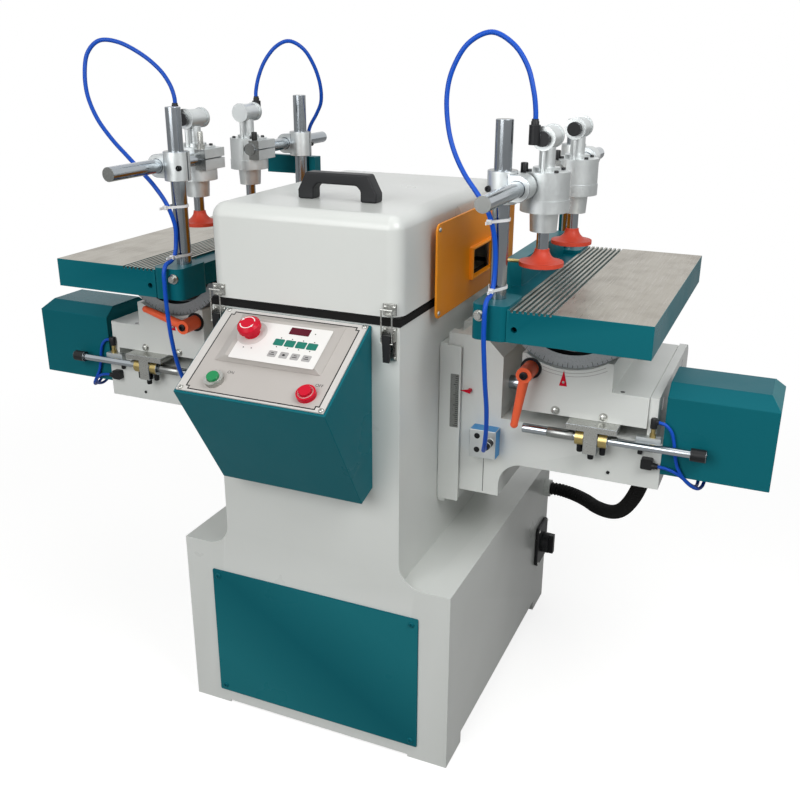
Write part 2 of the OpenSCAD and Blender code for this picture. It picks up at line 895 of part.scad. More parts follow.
module hood_seal() {
    color(black_plastic)
        translate([-column_x, front_y, column_top]) difference() {
            cube([column_w, column_d, seal_t - face_gap]);
            translate([seal_w, seal_w, -overrun])
                cube([column_w - 2 * seal_w, column_d - 2 * seal_w, seal_t + 2 * overrun]);
        }
}

module hood_hinges() {
    reach = hinge_leaf_w / 2 + face_gap;
    color(steel)
        for (x = [-hinge_x, hinge_x]) {
            translate([x, hinge_y, hinge_z]) along_x()
                translate([0, 0, -reach - hinge_knuckle_w])
                    cylinder(r = hinge_pin_r, h = 2 * (reach + hinge_knuckle_w));
            for (s = [-1, 1])
                translate([x + s * (reach + hinge_knuckle_w / 2) - hinge_knuckle_w / 2, 0, 0]) {
                    translate([0, hinge_y, hinge_z]) along_x() cylinder(r = hinge_r, h = hinge_knuckle_w);
                    translate([0, column_back_y, hinge_z - hinge_leaf_h])
                        cube([hinge_knuckle_w, hinge_y - column_back_y + hinge_pin_r, hinge_leaf_h]);
                }
        }
}

module hood_handle() {
    half = handle_l / 2;
    inner = half - handle_leg_w;
    gap_h = handle_h - handle_bar_h;
    color(black_plastic)
        translate([handle_x, 0, hood_top]) xz_extrude(handle_y - handle_w / 2, handle_w)
            polygon([[-half, 0], [-inner, 0], [-inner, gap_h - handle_shoulder / 2],
                [handle_shoulder / 2 - inner, gap_h], [inner - handle_shoulder / 2, gap_h],
                [inner, gap_h - handle_shoulder / 2], [inner, 0], [half, 0], [half, handle_h / 3],
                [half - handle_shoulder, handle_h], [handle_shoulder - half, handle_h],
                [-half, handle_h / 3]]);
}

module side_guard() {
    lip_out = guard_x + guard_t + window_lip;
    difference() {
        union() {
            translate([guard_x, guard_y0, guard_z0]) rotate([90, 0, 90])
                rounded_plate([guard_y1 - guard_y0, guard_z1 - guard_z0], guard_r, guard_t);
            translate([guard_x, window_y0 - guard_t, window_z0 - guard_t])
                cube([guard_t + window_lip, window_y1 - window_y0 + 2 * guard_t,
                    window_z1 - window_z0 + 2 * guard_t]);
            for (y = [guard_y0 + guard_spacer_front, guard_y1 - guard_spacer_rear])
                translate([column_x, y, guard_z1 - hood_r]) along_x()
                    cylinder(r = guard_spacer_r, h = guard_gap + guard_t);
        }
        translate([guard_x - overrun, window_y0, window_z0])
            cube([lip_out - guard_x + 2 * overrun, window_y1 - window_y0, window_z1 - window_z0]);
    }
}

module side_guards() {
    color(orange_paint) {
        for_side(-1) side_guard();
        for_side(1) side_guard();
    }
}

// Latches

module latch_plate(s) {
    translate([s * latch_x, 0, 0]) {
        translate([-latch_w / 2, front_y - latch_t, latch_z0]) cube([latch_w, latch_t, latch_plate_h]);
        for (e = [-1, 1])
            translate([e * (latch_w - latch_ear_t) / 2 - latch_ear_t / 2, latch_axis_y - latch_ear_front,
                latch_axis_z - latch_ear_h / 2])
                cube([latch_ear_t, front_y - latch_axis_y + latch_pin_r, latch_ear_h]);
        translate([-latch_w / 2, latch_axis_y, latch_axis_z]) along_x()
            cylinder(r = latch_pin_r, h = latch_w);
    }
}

module latch_plates() {
    color(steel) {
        latch_plate(-1);
        latch_plate(1);
    }
}

module latch_lever(s) {
    lever_y = bail_axis_y - lever_t / 2;
    color(black_plastic)
        translate([s * latch_x, 0, 0])
            difference() {
                union() {
                    xz_extrude(lever_y, lever_t)
                        polygon([[-lever_w / 2, latch_axis_z + lever_top],
                            [lever_w / 2, latch_axis_z + lever_top],
                            [lever_tip_w / 2, latch_axis_z - lever_drop],
                            [-lever_tip_w / 2, latch_axis_z - lever_drop]]);
                    translate([-lever_w / 2, latch_axis_y, latch_axis_z]) along_x()
                        cylinder(r = 2 * latch_pin_r, h = lever_w);
                }
                translate([-lever_w, latch_axis_y, latch_axis_z]) along_x()
                    cylinder(r = latch_pin_r + fit_gap, h = 2 * lever_w);
                translate([-lever_w, bail_axis_y, bail_axis_z]) along_x()
                    cylinder(r = bail_r + fit_gap, h = 2 * lever_w);
            }
}

module left_latch_lever() {
    latch_lever(-1);
}

module right_latch_lever() {
    latch_lever(1);
}

// Wire loop: a pin through the lever, two straight sides and a top bar
module latch_bail(s) {
    color(steel)
        translate([s * latch_x, bail_axis_y, 0]) {
            for (z = [bail_axis_z, bail_top_z])
                translate([-bail_x - bail_r, 0, z]) along_x() cylinder(r = bail_r, h = 2 * (bail_x + bail_r));
            for (x = [-bail_x, bail_x])
                translate([x, 0, bail_axis_z]) cylinder(r = bail_leg_r, h = bail_top_z - bail_axis_z);
        }
}

module left_latch_bail() {
    latch_bail(-1);
}

module right_latch_bail() {
    latch_bail(1);
}

module latch_keepers() {
    color(steel)
        for (s = [-1, 1])
            translate([s * latch_x - keeper_w / 2, front_y, 0]) {
                translate([0, -latch_t, keeper_z0]) cube([keeper_w, latch_t, keeper_h]);
                translate([keeper_w / 4, -keeper_hook, keeper_z0]) cube([keeper_w / 2, keeper_hook, latch_t]);
            }
}

// Cutter drive

module spindle_housing() {
    color("#7d8285")
        for (s = [-1, 1])
            for_side(s)
                difference() {
                    union() {
                        translate([housing_x0, -housing_d / 2, bed_z])
                            cube([housing_x1 - housing_x0, housing_d, housing_foot_t]);
                        translate([housing_x0, -housing_cap_r, bed_z])
                            cube([housing_x1 - housing_x0, 2 * housing_cap_r, housing_h]);
                        translate([housing_x0, 0, spindle_z]) along_x()
                            cylinder(r = housing_cap_r, h = housing_x1 - housing_x0);
                    }
                    translate([housing_x0 - overrun, 0, spindle_z]) along_x()
                        cylinder(r = shaft_r + fit_gap, h = housing_x1 - housing_x0 + 2 * overrun);
                }
}

module pulley(w) {
    translate([-w / 2, 0, 0]) along_x() cylinder(r = pulley_r, h = w);
    for (x = [-w / 2, w / 2 - pulley_flange_t])
        translate([x, 0, 0]) along_x() cylinder(r = pulley_r + pulley_flange_h, h = pulley_flange_t);
}

module spindle_shaft() {
    color(steel)
        translate([0, 0, spindle_z]) {
            translate([-shaft_l / 2, 0, 0]) along_x() cylinder(r = shaft_r, h = shaft_l);
            pulley(pulley_w);
        }
}

module cutter_head() {
    translate([cutter_x, 0, spindle_z]) along_x()
        difference() {
            cylinder(r = cutter_r, h = cutter_w);
            translate([0, 0, -overrun]) cylinder(r = shaft_r + fit_gap, h = cutter_w + 2 * overrun);
            for (i = [0 : cutter_gullets - 1])
                rotate([0, 0, 360 * i / cutter_gullets]) translate([cutter_r + gullet_shift, 0, -overrun])
                    cylinder(r = gullet_r, h = cutter_w + 2 * overrun);
        }
}

module cutter_heads() {
    color("#4a4d50") {
        for_side(-1) cutter_head();
        for_side(1) cutter_head();
    }
}

module drive_motor() {
    length = motor_x1 - motor_x0;
    floor_z = foot_h + sheet_t;
    color("#5b6770")
        difference() {
            union() {
                translate([motor_x0, 0, motor_z]) along_x() cylinder(r = motor_r, h = length);
                for (i = [-motor_fins : motor_fins])
                    translate([motor_x0 + fan_cover_l, 0, motor_z]) rotate([motor_fin_step * i, 0, 0])
                        translate([0, -motor_fin_t / 2, motor_r - motor_fin_h])
                            cube([length - fan_cover_l - motor_fin_h, motor_fin_t, 2 * motor_fin_h]);
                translate([motor_x0 + fan_cover_l, -motor_foot_w / 2, floor_z])
                    cube([motor_foot_l, motor_foot_w, motor_z - floor_z - motor_r / 2]);
            }
            translate([motor_x1 - motor_bore_l, 0, motor_z]) along_x()
                cylinder(r = motor_shaft_r + fit_gap, h = motor_bore_l + overrun);
        }
}

module motor_pulley() {
    color(steel)
        translate([0, 0, motor_z]) {
            translate([motor_x1 - motor_bore_l + overrun, 0, 0]) along_x()
                cylinder(r = motor_shaft_r, h = motor_bore_l - motor_x1 + pulley_w / 2);
            pulley(pulley_w);
        }
}

module belt_outline(r) {
    translate([0, motor_z]) circle(r);
    translate([0, spindle_z]) circle(r);
    translate([-r, motor_z]) square([2 * r, spindle_z - motor_z]);
}

module drive_belt() {
    inner = pulley_r + face_gap;
    color(black_plastic)
        translate([-belt_w / 2, 0, 0]) yz_extrude(belt_w)
            difference() {
                belt_outline(inner + belt_t);
                belt_outline(inner);
            }
}

// Slideways and knees

module rail_outline(gap) {
    for (y = [-rail_y, rail_y])
        translate([0, y]) polygon([[way_x1 - rail_lap, -rail_root_w / 2 - gap],
            [way_x1 + rail_h + gap, -rail_tip_w / 2 - gap],
            [way_x1 + rail_h + gap, rail_tip_w / 2 + gap],
            [way_x1 - rail_lap, rail_root_w / 2 + gap]]);
}

module knee_slideways() {
    color(white_paint)
        for (s = [-1, 1])
            for_side(s) {
                translate([column_x, -way_d / 2, way_z0]) cube([way_t, way_d, way_h]);
                translate([0, 0, way_z0]) linear_extrude(way_h) rail_outline(0);
            }
}

module knee_profile() {
    polygon([[knee_x0, knee_foot_z], [upright_x1, knee_foot_z], [upright_x1, upright_top - upright_cham],
        [upright_x1 - upright_cham, upright_top], [knee_x0, upright_top]]);
    translate([upright_x1 - overrun, arm_z0]) square([arm_x1 - upright_x1 + overrun, arm_h]);
    difference() {
        translate([upright_x1 - overrun, arm_z0 - arch_r]) square([arch_r + overrun, arch_r + overrun]);
        translate([upright_x1 + arch_r, arm_z0 - arch_r]) circle(arch_r);
    }
}

module rod_places() {
    for (y = [rod_y_front, rod_y_rear])
        translate([0, y, rod_z]) along_x() children();
}

module knee(s) {
    color(white_paint)
        for_side(s)
            difference() {
                union() {
                    xz_extrude(knee_y0, knee_d) knee_profile();
                    translate([end_plate_x0, 0, 0]) yz_extrude(end_plate_t) {
                        translate([knee_y0, arm_z1 - overrun])
                            square([knee_d - end_plate_r, end_plate_h + overrun]);
                        translate([knee_y0, arm_z1 - overrun])
                            square([knee_d, end_plate_h - end_plate_r + overrun]);
                        translate([knee_y1 - end_plate_r, arm_z1 + end_plate_h - end_plate_r])
                            circle(end_plate_r);
                    }
                    translate([arm_x1 - overrun, feed_y, feed_z]) along_x() cylinder(r = feed_r, h = feed_l);
                }
                translate([0, 0, knee_foot_z - overrun])
                    linear_extrude(upright_top - knee_foot_z + 2 * overrun) rail_outline(face_gap);
                translate([arm_pocket_x0, knee_y0 + arm_wall, arm_z0 - arch_r])
                    cube([arm_pocket_x1 - arm_pocket_x0, knee_d - 2 * arm_wall, arm_pocket_h + arch_r]);
                rod_places()
                    translate([0, 0, upright_x1 - rod_seat])
                        cylinder(r = rod_r + fit_gap, h = rod_l + overrun);
            }
}

module left_knee() {
    knee(-1);
}

module right_knee() {
    knee(1);
}

module guide_rods(s) {
    color(chrome_steel)
        for_side(s) rod_places()
            translate([0, 0, upright_x1 - rod_seat + face_gap])
                cylinder(r = rod_r, h = rod_l - face_gap);
}

module left_guide_rods() {
    guide_rods(-1);
}

module right_guide_rods() {
    guide_rods(1);
}

module cover_outline(t) {
    y0 = knee_y0 + t;
    y1 = cover_y1 - t;
    z1 = cover_z1 - t;
    polygon([[y0, cover_z0 - overrun * sign(t)], [y0, z1 - cover_bevel_z], [y0 + cover_bevel_y, z1],
        [y1 - cover_bevel_y, z1], [y1, z1 - cover_bevel_z], [y1, cover_z0 - overrun * sign(t)]]);
}

module drive_cover(s) {
    color(teal_paint)
        for_side(s)
            difference() {
                translate([arm_x1, 0, 0]) yz_extrude(cover_l) cover_outline(0);
                translate([arm_x1 - overrun, 0, 0])
                    yz_extrude(cover_l - cover_t + overrun) cover_outline(cover_t);
                translate([arm_x1 + cover_l, knee_y0 - overrun, cover_z1])
                    xz_extrude(0, cover_y1 - knee_y0 + 2 * overrun)
                        polygon([[-cover_bevel_x, overrun], [overrun, overrun], [overrun, -cover_bevel_z],
                            [0, -cover_bevel_z], [-cover_bevel_x, 0]]);
            }
}

module left_drive_cover() {
    drive_cover(-1);
}

module right_drive_cover() {
    drive_cover(1);
}

module valve_block(s) {
    color(alloy)
        for_side(s)
            translate([block_x0, knee_y0 - block_size[1], block_z0]) {
                cube(block_size);
                translate([port_x, -port_l, port_z]) along_y() cylinder(r = port_r, h = port_l + overrun);
            }
}

module left_valve_block() {
    valve_block(-1);
}

module right_valve_block() {
    valve_block(1);
}

// Saddles

module saddle_outline() {
    difference() {
        union() {
            translate([saddle_x0, saddle_z0]) square([saddle_x1 - saddle_x0, slab_h]);
            translate([saddle_x0, saddle_z0]) square([cradle_w, cradle_h]);
        }
        translate([tilt_x, table_top]) circle(turntable_r + fit_gap, $fn = 96);
    }
}

module saddle(s) {
    color(white_paint)
        for_side(s)
            difference() {
                xz_extrude(saddle_y0, saddle_y1 - saddle_y0) saddle_outline();
                rod_places() translate([0, 0, saddle_x0 - overrun])
                    cylinder(r = rod_r + fit_gap, h = saddle_x1 - saddle_x0 + 2 * overrun);
                translate([lever_axis_x, saddle_y0 - overrun, lever_axis_z]) along_y()
                    cylinder(r = lever_pin_r + fit_gap, h = lever_pin_l + 2 * overrun);
            }
}

module left_saddle() {
    saddle(-1);
}

module right_saddle() {
    saddle(1);
}

module clamp_lever(s, angle) {
    color(orange_paint)
        for_side(s)
            translate([lever_axis_x, saddle_y0 - face_gap, lever_axis_z]) {
                along_y() cylinder(r = lever_pin_r, h = lever_pin_l);
                along_y() translate([0, 0, -lever_hub_l]) cylinder(r = lever_hub_r, h = lever_hub_l);
                translate([0, lever_arm_r0 - lever_hub_l, 0]) rotate([0, -angle, 0])
                    translate([0, 0, -lever_arm_l]) {
                        cylinder(r1 = lever_arm_r1, r2 = lever_arm_r0, h = lever_arm_l);
                        sphere(lever_ball_r);
                    }
            }
}

module left_clamp_lever() {
    clamp_lever(-1, lever_angle_left);
}

module right_clamp_lever() {
    clamp_lever(1, lever_angle_right);
}

// Stop rod: bracket under the saddle, rod, two collars and an end knob
module stop_rod(s) {
    color(steel)
        for_side(s) {
            difference() {
                union() {
                    translate([stop_lug_x + stop_lug_t / 2 - stop_flange[0] / 2, stop_y - stop_lug_w / 2,
                        saddle_z0 - stop_flange[2]])
                        cube(stop_flange);
                    translate([stop_lug_x, stop_y - stop_lug_w / 2, saddle_z0 - stop_lug_drop])
                        cube([stop_lug_t, stop_lug_w, stop_lug_drop]);
                }
                translate([stop_lug_x - stop_flange[0], stop_y, stop_z]) along_x()
                    cylinder(r = stop_r + fit_gap, h = 2 * stop_flange[0]);
            }
            translate([stop_x0, stop_y, stop_z]) along_x() cylinder(r = stop_r, h = stop_x1 - stop_x0);
            translate([stop_x0, stop_y, stop_z]) along_x() cylinder(r = stop_stub_r, h = stop_stub_l);
            for (x = [stop_lug_x - face_gap - collar_l, stop_lug_x + stop_lug_t + face_gap])
                translate([x, stop_y, stop_z]) along_x()
                    difference() {
                        cylinder(r = collar_r, h = collar_l);
                        translate([0, 0, -overrun])
                            cylinder(r = stop_r + fit_gap, h = collar_l + 2 * overrun);
                    }
            translate([stop_x1 - stop_knob_l / 2, stop_y, stop_z]) along_x()
                cylinder(r = stop_knob_r, h = stop_knob_l);
        }
}

module left_stop_rod() {
    stop_rod(-1);
}

module right_stop_rod() {
    stop_rod(1);
}

// Tables

module post_places() {
    for (y = [-post_y, post_y])
        translate([post_x, y, 0]) children();
}

module table_boss(s) {
    y0 = s < 0 ? -post_y - boss_front : post_y + boss_front - boss_l;
    translate([post_x - boss_in, y0, table_top - table_t])
        rounded_plate([boss_w, boss_l], boss_r, table_t + boss_rise);
}

module table_underside() {
    half_w = table_w / 2 - table_wall;
    pad_w = segment_half_w + table_pad;
    pad_l = turntable_l / 2 + table_pad;
    z0 = table_top - table_t - overrun;
    difference() {
        translate([table_x - half_w, table_wall - table_l / 2, z0])
            cube([2 * half_w, table_l - 2 * table_wall, table_t - table_deck + overrun]);
        translate([tilt_x - pad_w, -pad_l, z0]) cube([2 * pad_w, 2 * pad_l, table_t]);
        for (y = [-table_l / 3, table_l / 3])
            translate([table_x - half_w - overrun, y - rib_t / 2, z0])
                cube([2 * half_w + 2 * overrun, rib_t, table_t]);
        translate([table_x - rib_t / 2, -table_l / 2, z0]) cube([rib_t, table_l, table_t]);
    }
}

// Low fence along the inner edge, and a post behind it that carries the cross bar
module fence(bar_l) {
    z0 = table_top - strip_t;
    bar_z0 = table_top + fence_bar_rise;
    translate([fence_x0, -fence_front, z0]) cube([fence_t, fence_front + fence_back, strip_t + fence_rise]);
    translate([fence_x0, fence_y1 - fence_post_d, z0])
        cube([fence_post_t, fence_post_d, bar_z0 + fence_bar_h - z0]);
    translate([fence_x0, fence_y1 - fence_bar_t, bar_z0]) cube([bar_l, fence_bar_t, fence_bar_h]);
}

module table_part(s, bar_l) {
    top_x0 = table_x - table_w / 2;
    color(teal_paint)
        for_side(s)
            difference() {
                union() {
                    translate([top_x0, -table_l / 2, table_top - table_t]) cube([table_w, table_l, table_t]);
                    translate([top_x0 - strip_w, -post_y, table_top - strip_step - strip_t])
                        cube([strip_w + overrun, 2 * post_y, strip_t]);
                    table_boss(-1);
                    table_boss(1);
                    fence(bar_l);
                }
                table_underside();
                for (i = [0 : groove_n - 1])
                    translate([groove_x0 + i * groove_pitch, -table_l, table_top - groove_depth])
                        cube([groove_w, 2 * table_l, groove_depth + overrun]);
                post_places()
                    translate([0, 0, table_top - table_t + overrun])
                        cylinder(r = post_r + fit_gap, h = table_t + boss_rise + overrun);
                translate([stop_hole_x, -table_l / 2 - overrun, table_top - stop_hole_drop]) along_y()
                    cylinder(r = stop_hole_r, h = stop_hole_l + overrun);
            }
}

module left_table() {
    table_part(-1, fence_bar_left);
}

module right_table() {
    table_part(1, fence_bar_right);
}

// Round segment under the table: it lies in the saddle's cradle, and the table tilts on it
module turntable(s) {
    half_l = turntable_l / 2;
    color("#8f9496")
        for_side(s)
            difference() {
                xz_extrude(-half_l, turntable_l)
                    difference() {
                        translate([tilt_x, table_top]) circle(turntable_r, $fn = 96);
                        translate([tilt_x - turntable_r - overrun, table_top - table_t])
                            square(2 * turntable_r + 2 * overrun);
                    }
                for (y = [-half_l - overrun, half_l - segment_recess])
                    xz_extrude(y, segment_recess + overrun)
                        translate([tilt_x, table_top]) circle(turntable_r - segment_ring_t, $fn = 96);
            }
}

module left_turntable() {
    turntable(-1);
}

module right_turntable() {
    turntable(1);
}

// Posts with their cross clamps

module cross_clamp() {
    reach = bar_x - post_x;
    difference() {
        union() {
            translate([0, 0, bar_z - block_h / 2]) cylinder(r = block_r, h = block_h);
            translate([0, -block_half_d, bar_z - bar_boss_r]) cube([reach, 2 * block_half_d, 2 * bar_boss_r]);
            translate([reach, -block_half_d, bar_z]) along_y() cylinder(r = bar_boss_r, h = 2 * block_half_d);
        }
        translate([0, 0, bar_z - block_h]) cylinder(r = post_r + fit_gap, h = 2 * block_h);
        translate([reach, -2 * block_half_d, bar_z]) along_y()
            cylinder(r = bar_r + fit_gap, h = 4 * block_half_d);
        translate([-2 * block_r, -slit_w / 2, bar_z - block_h]) cube([2 * block_r, slit_w, 2 * block_h]);
    }
}

module clamp_stands(s, rear_drop) {
    post_z0 = table_top - table_t + 2 * overrun;
    color(chrome_steel)
        for_side(s) {
            translate([post_x, -post_y, post_z0]) cylinder(r = post_r, h = post_h + table_top - post_z0);
            translate([post_x, post_y, post_z0])
                cylinder(r = post_r, h = post_h + table_top - post_z0 - rear_drop);
            post_places() cross_clamp();
        }
}

module left_clamp_stands() {
    clamp_stands(-1, 0);
}

module right_clamp_stands() {
    clamp_stands(1, rear_post_drop);
}

// Pneumatic clamps: bar, cylinder with split lug, valve head with its elbow

module clamp_body(elbow) {
    difference() {
        union() {
            translate([0, 0, body_z0]) cylinder(r = cylinder_r, h = body_h);
            translate([0, 0, body_z0 - flange_h]) cylinder(r = flange_r, h = flange_h + overrun);
            translate([0, 0, body_z0 - flange_h - nose_h])
                cylinder(r1 = nose_r0, r2 = nose_r1, h = nose_h + overrun);
            translate([bar_x - cylinder_x - bar_boss_r, -lug_half_d, body_z0 + lug_margin])
                cube([lug_w, 2 * lug_half_d, body_h - 2 * lug_margin]);
            translate([0, 0, body_z0 + body_h - overrun]) cylinder(r = neck_r0, h = neck_h0 + overrun);
            translate([0, 0, body_z0 + body_h]) cylinder(r = neck_r1, h = neck_h);
            translate([0, -head_l / 2, head_z]) along_y() cylinder(r = head_r, h = head_l);
            for (y = [-head_l / 2, head_l / 2 - ring_t])
                translate([0, y, head_z]) along_y() cylinder(r = ring_r, h = ring_t);
            translate([0, side_rod_gap - head_l / 2, body_z0 + body_h - overrun])
                cylinder(r = side_rod_r, h = head_z - head_r - body_z0 - body_h + 2 * overrun);
        }
        translate([bar_x - cylinder_x, -2 * lug_half_d, bar_z]) along_y()
            cylinder(r = bar_r + fit_gap, h = 4 * lug_half_d);
        translate([bar_x - cylinder_x - 2 * bar_boss_r, -2 * lug_half_d, bar_z - slit_w / 2])
            cube([2 * bar_boss_r, 4 * lug_half_d, slit_w]);
        translate([0, 0, body_z0 - flange_h - nose_h - overrun])
            cylinder(r = piston_r + fit_gap, h = flange_h + nose_h + piston_depth + overrun);
        translate([0, elbow * (head_l / 2 + overrun), head_z]) rotate([90 * elbow, 0, 0])
            cylinder(r = elbow_r + fit_gap, h = elbow_sink + overrun);
    }
}

// Fitting in one end of the valve head, with an upright port for the tube
module clamp_elbow(elbow, shift, port) {
    translate([0, elbow * (head_l / 2 - elbow_sink + face_gap), head_z]) rotate([-90 * elbow, 0, 0])
        cylinder(r = elbow_r, h = elbow_sink + elbow_out - face_gap);
    if (port)
        translate([shift, elbow * (head_l / 2 + elbow_out), head_z - elbow_port_r])
            cylinder(r = elbow_port_r, h = elbow_port_r + elbow_port_h);
}

module air_clamp(s, y, toward_front, bar_back, elbow, shift, port) {
    bar_end = lug_half_d + 2 * overrun + bar_back;
    color(alloy)
        for_side(s)
            translate([cylinder_x, y, 0]) {
                clamp_body(elbow);
                clamp_elbow(elbow, shift, port);
                translate([bar_x - cylinder_x, toward_front ? bar_end - bar_l : -bar_end, bar_z]) along_y()
                    cylinder(r = bar_r, h = bar_l);
            }
}

module left_front_clamp() {
    air_clamp(-1, left_front_y, true, 0, -1, elbow_shift, true);
}

module left_rear_clamp() {
    air_clamp(-1, left_rear_y, false, 0, 1, 0, true);
}

module right_front_clamp() {
    air_clamp(1, right_front_y, true, right_front_bar_back, -1, -elbow_shift, true);
}

module right_rear_clamp() {
    air_clamp(1, right_rear_y, false, 0, -1, 0, false);
}

module foot_profile() {
    rise = foot_h_clamp - foot_rim_h;
    run = clamp_foot_r - foot_neck_r;
    square([clamp_foot_r, foot_rim_h]);
    square([foot_neck_r, foot_h_clamp]);
    difference() {
        square([clamp_foot_r, foot_h_clamp]);
        translate([clamp_foot_r, foot_h_clamp]) scale([run, rise]) circle(1);
        translate([clamp_foot_r - overrun / 2, 0]) square([overrun, foot_h_clamp + overrun]);
    }
}

module clamp_foot(s, y, stud) {
    z0 = table_top + clamp_foot_rise;
    piston_l = body_z0 - flange_h + piston_top - z0 - foot_h_clamp;
    color(signal_red)
        for_side(s)
            translate([cylinder_x, y, z0]) {
                rotate_extrude() foot_profile();
                translate([0, 0, foot_h_clamp - overrun]) cylinder(r = piston_r, h = piston_l + overrun);
                if (stud)
                    translate([overrun - clamp_foot_r, 0, foot_rim_h / 2]) rotate([0, -90, 0])
                        cylinder(r = stud_r, h = stud_l);
            }
}

module left_front_foot() {
    clamp_foot(-1, left_front_y, false);
}

module left_rear_foot() {
    clamp_foot(-1, left_rear_y, false);
}

module right_front_foot() {
    clamp_foot(1, right_front_y, true);
}

module right_rear_foot() {
    clamp_foot(1, right_rear_y, false);
}

// Tubes and conduit

module left_front_tube() {
    color("#1f56b8") round_tube(left_front_route, tube_r, left_front_side, tube_sides);
}

module left_rear_tube() {
    color("#1f56b8") round_tube(left_rear_route, tube_r, left_rear_side, tube_sides);
}

module right_front_tube() {
    color("#1f56b8") round_tube(right_front_route, tube_r, right_front_side, tube_sides);
}

module motor_conduit() {
    color(black_plastic)
        ribbed_hose(conduit_route, conduit_r, conduit_bore_r, conduit_rib, conduit_ribs, conduit_side,
            tube_sides);
}

base_cabinet();
access_panel();
console_box();
console_plate();
control_unit();
hood_seal();
hood_hinges();
spindle_housing();
drive_motor();
drive_belt();
power_switch_plate();
knee_slideways();
latch_plates();
motor_conduit();
spindle_shaft();
cutter_heads();
motor_pulley();
hood_shell();
hood_handle();
side_guards();
latch_keepers();
left_latch_lever();
left_latch_bail();
right_latch_lever();
right_latch_bail();
start_button();
stop_button();
emergency_button();
power_switch_knob();
left_knee();
right_knee();
left_guide_rods();
right_guide_rods();
left_drive_cover();
right_drive_cover();
left_valve_block();
right_valve_block();
left_saddle();
right_saddle();
left_stop_rod();
right_stop_rod();
left_clamp_lever();
right_clamp_lever();
left_table();
right_table();
left_turntable();
right_turntable();
left_clamp_stands();
right_clamp_stands();
left_front_clamp();
left_rear_clamp();
right_front_clamp();
right_rear_clamp();
left_front_foot();
left_rear_foot();
right_front_foot();
right_rear_foot();
left_front_tube();
left_rear_tube();
right_front_tube();
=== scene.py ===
# %% [markdown]
# # Dressing a tenoning machine
# This lesson takes the bare solids of a small woodworking machine and gives them the looks of the real one:
# enamelled sheet steel, machined iron, chromed rods, cast aluminium clamps, air tubes and a control console.
# The solids come as a fixed frame. Nothing here moves them; each new piece rides on one of their bodies.

# %% Load the frame
import json
import math

